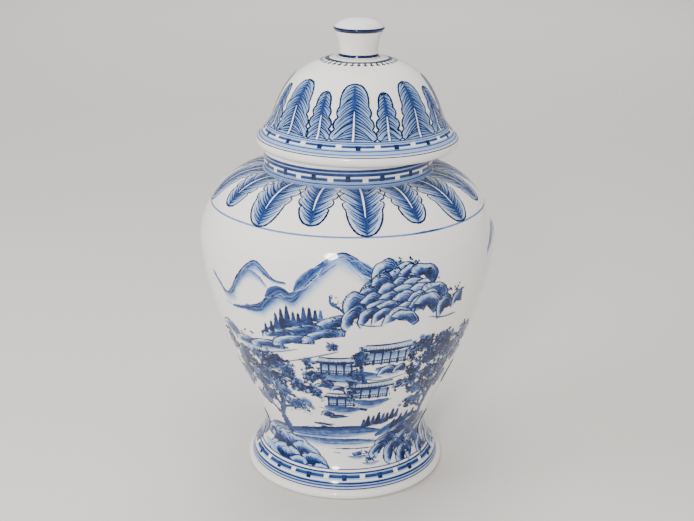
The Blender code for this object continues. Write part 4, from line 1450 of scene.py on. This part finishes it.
class GINGERJAR_OT_jar_sections(bpy.types.Operator):
    """Turns the foot, the lower body, the shoulder and the neck"""

    bl_idname = "ginger_jar.jar_sections"
    bl_label = "Foot, body, shoulder and neck"

    def execute(self, context):
        glaze = bpy.data.materials["White glaze"]
        bore = NECK_RADIUS - WALL
        bowl_radius = WAIST_RADIUS - WALL
        floor = FOOT_RECESS + FLOOR_THICKNESS
        ring_inner = FOOT_RADIUS - FOOT_BEAD_HEIGHT / 2 - FOOT_RING_WIDTH
        bowl = curve(
            (BOWL_FLAT_SHARE * bowl_radius, floor), (BOWL_FLOOR_PULL * bowl_radius, floor),
            (bowl_radius, floor + BOWL_SIDE_PULL * (WAIST_HEIGHT - floor)), (bowl_radius, WAIST_HEIGHT),
            BOWL_STEPS)
        underside = ((ring_inner, 0.0), (ring_inner - EDGE_ROUNDING, FOOT_RECESS), (0.0, FOOT_RECESS))
        turned_piece("foot_section", foot_outline(), ((0.0, floor), bowl), (underside,), False,
                     JAR_AXIS, "jar_foot", "jar", glaze)
        turned_piece("lower_body_section", body_outline(), (), (inside(body_outline(), WALL),), True,
                     JAR_AXIS, "jar_lower_body", "jar", glaze)
        under_shoulder = inside(shoulder_outline(), WALL)
        under_shoulder[-1] = (bore, NECK_BASE_HEIGHT - WALL)
        turned_piece("shoulder_section", shoulder_outline(), ((bore, NECK_BASE_HEIGHT),), (under_shoulder,),
                     True, JAR_AXIS, "jar_shoulder", "jar", glaze)
        inner_lip = arc((bore + EDGE_ROUNDING, MOUTH_HEIGHT - EDGE_ROUNDING), EDGE_ROUNDING, 180, 90,
                        EDGE_STEPS)
        turned_piece("neck_section", neck_outline(), (), ((bore, NECK_BASE_HEIGHT), inner_lip), True,
                     JAR_AXIS, "jar_neck", "jar", glaze)
        return {"FINISHED"}


class GINGERJAR_OT_lid_sections(bpy.types.Operator):
    """Turns the lid's dome, its bare locating collar and the knob"""

    bl_idname = "ginger_jar.lid_sections"
    bl_label = "Lid, collar and knob"

    def execute(self, context):
        glaze = bpy.data.materials["White glaze"]
        dome = dome_outline()
        socket = KNOB_TENON_RADIUS + LUTING_GAP
        collar_inner = COLLAR_RADIUS - COLLAR_WALL
        floor = LID_SEAT + LID_WALL
        spring = NECK_RADIUS - DOME_INSET
        upper = dome[dome[:, 1] >= LID_SEAT + DOME_SPRING_HEIGHT]
        hollow = inside(upper, LID_WALL)
        hollow[0][0] = spring - LID_WALL
        round_foot = 2 * EDGE_ROUNDING
        corner = arc((spring - LID_WALL - round_foot, floor + round_foot), round_foot, -90, 0,
                     SOCKET_STEPS)
        below = ((collar_inner, LID_SEAT), (collar_inner, floor), corner, hollow,
                 (socket, hollow[-1][1]))
        turned_piece("lid_dome_section", dome, ((socket, PAD_HEIGHT),), below, True, LID_AXIS,
                     "lid_dome", "lid", glaze)
        edge = EDGE_ROUNDING
        collar = joined(arc((COLLAR_RADIUS - edge, COLLAR_BOTTOM + edge), edge, -90, 0, EDGE_STEPS),
                        (COLLAR_RADIUS, (COLLAR_BOTTOM + COLLAR_TOP) / 2),
                        (COLLAR_RADIUS, COLLAR_TOP + LUTING_GAP))
        bore = ((collar_inner, COLLAR_BOTTOM), (collar_inner, LID_SEAT))
        turned_piece("lid_collar_section", collar, (), bore, True, LID_AXIS, "lid_collar",
                     "lid", bpy.data.materials["Bare biscuit"], COLLAR_COLUMNS)
        knob = knob_outline()
        tenon = ((KNOB_TENON_RADIUS, knob[0][1]), (KNOB_TENON_RADIUS, TENON_BOTTOM), (0.0, TENON_BOTTOM))
        turned_piece("lid_knob_section", knob, (), tenon, False, LID_AXIS, "lid_knob", "lid",
                     bpy.data.materials["Knob glaze"], KNOB_COLUMNS)
        return {"FINISHED"}


class GINGERJAR_OT_landscape(bpy.types.Operator):
    """Paints the mountains, pavilions, trees and lake on the front of the body"""

    bl_idname = "ginger_jar.landscape"
    bl_label = "Front landscape"

    def execute(self, context):
        paint_scenes(context, (
            ("far_mountains", paint_far_mountains, 0, 0), ("fir_ridge", paint_fir_ridge, 1, 8),
            ("boulder_hill", paint_boulder_hill, 2, 12), ("pavilions", paint_pavilions, 3, 18),
            ("left_tree", paint_left_tree, 4, 30), ("right_tree", paint_right_tree, 5, 40),
            ("lake", paint_lake, 6, 4), ("foreground_rocks", paint_foreground, 7, 12)))
        return {"FINISHED"}


class GINGERJAR_OT_back_landscape(bpy.types.Operator):
    """Paints the quieter scene on the sides and the back of the body"""

    bl_idname = "ginger_jar.back_landscape"
    bl_label = "Back landscape"

    def execute(self, context):
        paint_scenes(context, (
            ("back_landscape", paint_back_scene, 54, 4), ("back_trees", paint_back_trees, 80, 30)))
        return {"FINISHED"}


class GINGERJAR_OT_foot_border(bpy.types.Operator):
    """Paints the lines and the fret round the foot"""

    bl_idname = "ginger_jar.foot_border"
    bl_label = "Foot border"

    def execute(self, context):
        paint_border(
            context, "foot", "jar", (JAR_WALL, 60, 48), (JAR_WALL, 61, 57),
            ((13.4, 13.6, BARE), (13.0, 10.6, PALE), (19.3, 0.8, DEEP), (17.2, 1.2, DARK),
             (12.6, 1.4, NEARLY_BARE), (11.0, 1.3, DARK), (9.3, 1.0, DEEP), (7.4, 1.0, DEEP)),
            (15.0, 2.2, -1))
        return {"FINISHED"}


class GINGERJAR_OT_neck_border(bpy.types.Operator):
    """Paints the lines and the fret round the neck"""

    bl_idname = "ginger_jar.neck_border"
    bl_label = "Neck border"

    def execute(self, context):
        paint_border(
            context, "neck", "jar", (NECK_WALL, 70, 0), (NECK_WALL, 71, 8),
            ((231.6, 11.8, 1.2 * PALE), (237.3, 1.8, DARK), (234.6, 2.0, DARK), (232.9, 1.1, NEARLY_BARE),
             (227.9, 0.8, DEEP), (226.1, 1.2, SOFT)), (231.1, 1.9, 1))
        return {"FINISHED"}


class GINGERJAR_OT_shoulder_leaves(bpy.types.Operator):
    """Paints the hanging leaves and the ring line on the shoulder"""

    bl_idname = "ginger_jar.shoulder_leaves"
    bl_label = "Shoulder leaves"

    def execute(self, context):
        settings = context.scene.ginger_jar_brush
        border = bpy.data.materials["Border cobalt"]
        foot = JAR_WALL.distance[-1] - 0.4 * MM
        between = 180 / settings.leaf_pairs
        brush = Brushwork(JAR_WALL, settings.seed + 80, LEAF_LAYER)
        leaves(brush, settings.leaf_pairs, foot, -1, (
            (7.5 + between, 209.0, (9.8, 11.0, 11.6, 11.0, 9.6), (0.0, 0.22, 0.44, 0.64)),
            (7.5, 204.2, (11.5, 13.2, 14.0, 13.4, 12.0), (0.0, 0.20, 0.40, 0.60))), (1.25, 0.82, 0.10, 0.74))
        painted_piece("shoulder_leaves", brush, "jar", border)
        brush = Brushwork(JAR_WALL, settings.seed + 81, 1)
        line = float(JAR_WALL.at_height(203.8 * MM))
        brush.ring(line, 1.25 * MM, SOFT + 0.04, 0.25 * MM)
        brush.over()
        stretch = np.radians(np.linspace(24, 40, 12))
        brush.stroke(np.stack((stretch, np.full(12, line)), 1), 1.5, DEEP, (0.2, 0.8, 1.0, 0.3), wobble=0.2)
        painted_piece("shoulder_line", brush, "jar", border)
        return {"FINISHED"}


class GINGERJAR_OT_lid_painting(bpy.types.Operator):
    """Paints the lid's border, its upright leaves and the rayed ring under the knob"""

    bl_idname = "ginger_jar.lid_painting"
    bl_label = "Lid painting"

    def execute(self, context):
        settings = context.scene.ginger_jar_brush
        border = bpy.data.materials["Border cobalt"]
        centred = Wall(LID_WALL_FACE.outline)
        paint_border(
            context, "lid", "lid", (LID_WALL_FACE, 90, 0), (centred, 91, 8),
            ((253.6, 11.2, PALE), (257.7, 0.75, DARK), (256.6, 0.5, DEEP), (253.7, 0.9, NEARLY_BARE),
             (252.4, 0.75, DEEP), (250.3, 0.65, DEEP), (248.9, 0.75, DARK)), (255.0, 1.5, -1))
        foot = float(LID_WALL_FACE.at_height(258.0 * MM))
        brush = Brushwork(LID_WALL_FACE, settings.seed + 92, LEAF_LAYER)
        leaves(brush, settings.leaf_pairs, foot, 1, (
            (19.5, 287.0, (8.8, 8.2, 7.4, 6.2, 5.0), (0.0, 0.24, 0.48, 0.70)),
            (-3.0, 292.0, (16.0, 14.0, 12.4, 10.8, 9.4), (0.0, 0.19, 0.39, 0.60))), (1.4, 0.60, 0.42, 0.56))
        painted_piece("lid_leaves", brush, "lid", border)
        brush = Brushwork(LID_WALL_FACE, settings.seed + 93, 2)
        brush.ring(float(LID_WALL_FACE.at_radius(21.6 * MM)), 2.8 * MM, INK, 0.3 * MM)
        painted_piece("crown_ring", brush, "lid", border)
        brush = Brushwork(centred, settings.seed + 94, 3)
        inner, outer = (float(centred.at_radius(radius * MM)) for radius in (21.7, 25.2))
        brush.stroke(np.array(((0.0, inner), (0.006, (inner + outer) / 2), (0.0, outer))), 1.7, INK,
                     (1.0, 0.8, 0.6))
        brush.dab((-0.06, outer - 0.9 * MM), 3.0, 3.0, 0.1, INK, 0.05)
        painted_piece("crown_rays", brush, "lid", border, settings.crown_rays, LID_AXIS)
        return {"FINISHED"}


class GINGERJAR_OT_knob_lines(bpy.types.Operator):
    """Paints the dark lines round the knob's edge and its foot"""

    bl_idname = "ginger_jar.knob_lines"
    bl_label = "Knob lines"

    def execute(self, context):
        brush = Brushwork(KNOB_WALL, context.scene.ginger_jar_brush.seed + 95, 4)
        for height, width in ((322.2, 3.2), (304.8, 1.9)):
            brush.ring(float(KNOB_WALL.at_height(height * MM)), width * MM, 0.97 * INK, 0.08 * MM, 17)
        painted_piece("knob_lines", brush, "lid", bpy.data.materials["Border cobalt"])
        return {"FINISHED"}


class GINGERJAR_OT_stage(bpy.types.Operator):
    """Sets up a pale floor, soft light and the camera"""

    bl_idname = "ginger_jar.stage"
    bl_label = "Stage"

    def execute(self, context):
        settings = context.scene.ginger_jar_stage
        scene = context.scene
        paper = bpy.data.materials.new("Paper floor")
        paper.use_nodes = True
        tree = paper.node_tree
        shader = tree.nodes["Principled BSDF"]
        shader.inputs["Roughness"].default_value = 0.75
        place = add(tree, "ShaderNodeTexCoord")
        cloud = add(tree, "ShaderNodeTexNoise", {"Scale": 3.0})
        tint = add(tree, "ShaderNodeMix", {"A": solid(settings.floor), "B": solid(settings.floor, 0.96)},
                   data_type="RGBA")
        link_all(tree, (
            (place, "Object", cloud, "Vector"), (cloud, "Fac", tint, "Factor"),
            (tint, "Result", shader, "Base Color"),
        ))
        around = np.radians(np.arange(0, 360, 360 / FLOOR_CORNERS))
        verts = [(FLOOR_RADIUS * math.cos(turn), FLOOR_RADIUS * math.sin(turn), 0.0) for turn in around]
        mesh = bpy.data.meshes.new("floor")
        mesh.from_pydata(verts, [], [range(FLOOR_CORNERS)])
        mesh.materials.append(paper)
        floor = bpy.data.objects.new("floor", mesh)
        scene.collection.objects.link(floor)

        fill = settings.fill_power
        boxes = (
            ("key", (-0.24, -1.15, 0.62), (0.0, 0.0, 0.17), 0.20, settings.key_power, (1.0, 0.97, 0.93)),
            ("left box", (-1.10, -0.35, 0.75), (0.0, 0.0, 0.15), 0.80, fill * 1.2, (0.98, 0.98, 1.0)),
            ("right box", (1.20, -0.55, 0.60), (0.0, 0.0, 0.15), 0.80, fill * 0.35, (1.0, 0.96, 0.92)),
            ("top box", (0.0, -0.10, 1.30), (0.0, 0.0, 0.2), 0.90, fill * 0.9, (1.0, 1.0, 1.0)),
            ("back box", (0.0, 2.60, 2.20), (0.0, 1.90, 0.0), 3.00, fill * 9.0, (1.0, 1.0, 1.0)),
        )
        for name, place, target, size, power, colour in boxes:
            lamp = bpy.data.lights.new(name, "AREA")
            lamp.shape = "DISK"
            lamp.size = size
            lamp.energy = power
            lamp.color = colour
            holder = bpy.data.objects.new(name, lamp)
            holder.location = place
            toward = holder.location - Vector(target)
            holder.rotation_euler = toward.to_track_quat("Z", "Y").to_euler()
            holder.visible_glossy = size < SMALL_LAMP
            scene.collection.objects.link(holder)

        world = bpy.data.worlds.new("Soft room")
        world.use_nodes = True
        sky = world.node_tree.nodes["Background"]
        sky.inputs["Color"].default_value = (0.90, 0.92, 0.96, 1.0)
        sky.inputs["Strength"].default_value = 0.45
        scene.world = world

        view = bpy.data.cameras.new("front view")
        view.lens = settings.lens
        view.sensor_width = 36.0
        view.clip_start = 0.01
        camera = bpy.data.objects.new("front view", view)
        camera.matrix_world = (
            Matrix.Translation((JAR_AXIS, -settings.distance, settings.height))
            @ Matrix.Rotation(math.radians(90) - settings.pitch, 4, "X")
            @ Matrix.Rotation(settings.roll, 4, "Z"))
        scene.collection.objects.link(camera)
        scene.camera = camera
        return {"FINISHED"}


class GINGERJAR_PT_panel(bpy.types.Panel):
    """Lists the steps that build the jar, with their settings"""

    bl_idname = "GINGERJAR_PT_panel"
    bl_label = "Ginger Jar"
    bl_space_type = "VIEW_3D"
    bl_region_type = "UI"
    bl_category = "Ginger Jar"

    def draw(self, context):
        column = self.layout.column(align=True)
        for operator in OPERATORS:
            column.operator(operator.bl_idname)
        for label, settings in SETTINGS:
            box = self.layout.box()
            for name in settings.__annotations__:
                box.prop(getattr(context.scene, label), name)


OPERATORS = (
    GINGERJAR_OT_finishes,
    GINGERJAR_OT_jar_sections,
    GINGERJAR_OT_lid_sections,
    GINGERJAR_OT_landscape,
    GINGERJAR_OT_back_landscape,
    GINGERJAR_OT_foot_border,
    GINGERJAR_OT_neck_border,
    GINGERJAR_OT_shoulder_leaves,
    GINGERJAR_OT_lid_painting,
    GINGERJAR_OT_knob_lines,
    GINGERJAR_OT_stage,
)
SETTINGS = (
    ("ginger_jar_glaze", GingerJarGlaze),
    ("ginger_jar_brush", GingerJarBrush),
    ("ginger_jar_stage", GingerJarStage),
)


def register():
    for label, settings in SETTINGS:
        bpy.utils.register_class(settings)
        setattr(bpy.types.Scene, label, PointerProperty(type=settings))
    for operator in OPERATORS:
        bpy.utils.register_class(operator)
    bpy.utils.register_class(GINGERJAR_PT_panel)


def unregister():
    bpy.utils.unregister_class(GINGERJAR_PT_panel)
    for operator in reversed(OPERATORS):
        bpy.utils.unregister_class(operator)
    for label, settings in reversed(SETTINGS):
        delattr(bpy.types.Scene, label)
        bpy.utils.unregister_class(settings)


def main():
    register()
    for operator in OPERATORS:
        step = getattr(bpy.ops.ginger_jar, operator.bl_idname.split(".")[1])
        step()


if __name__ == "__main__":
    main()
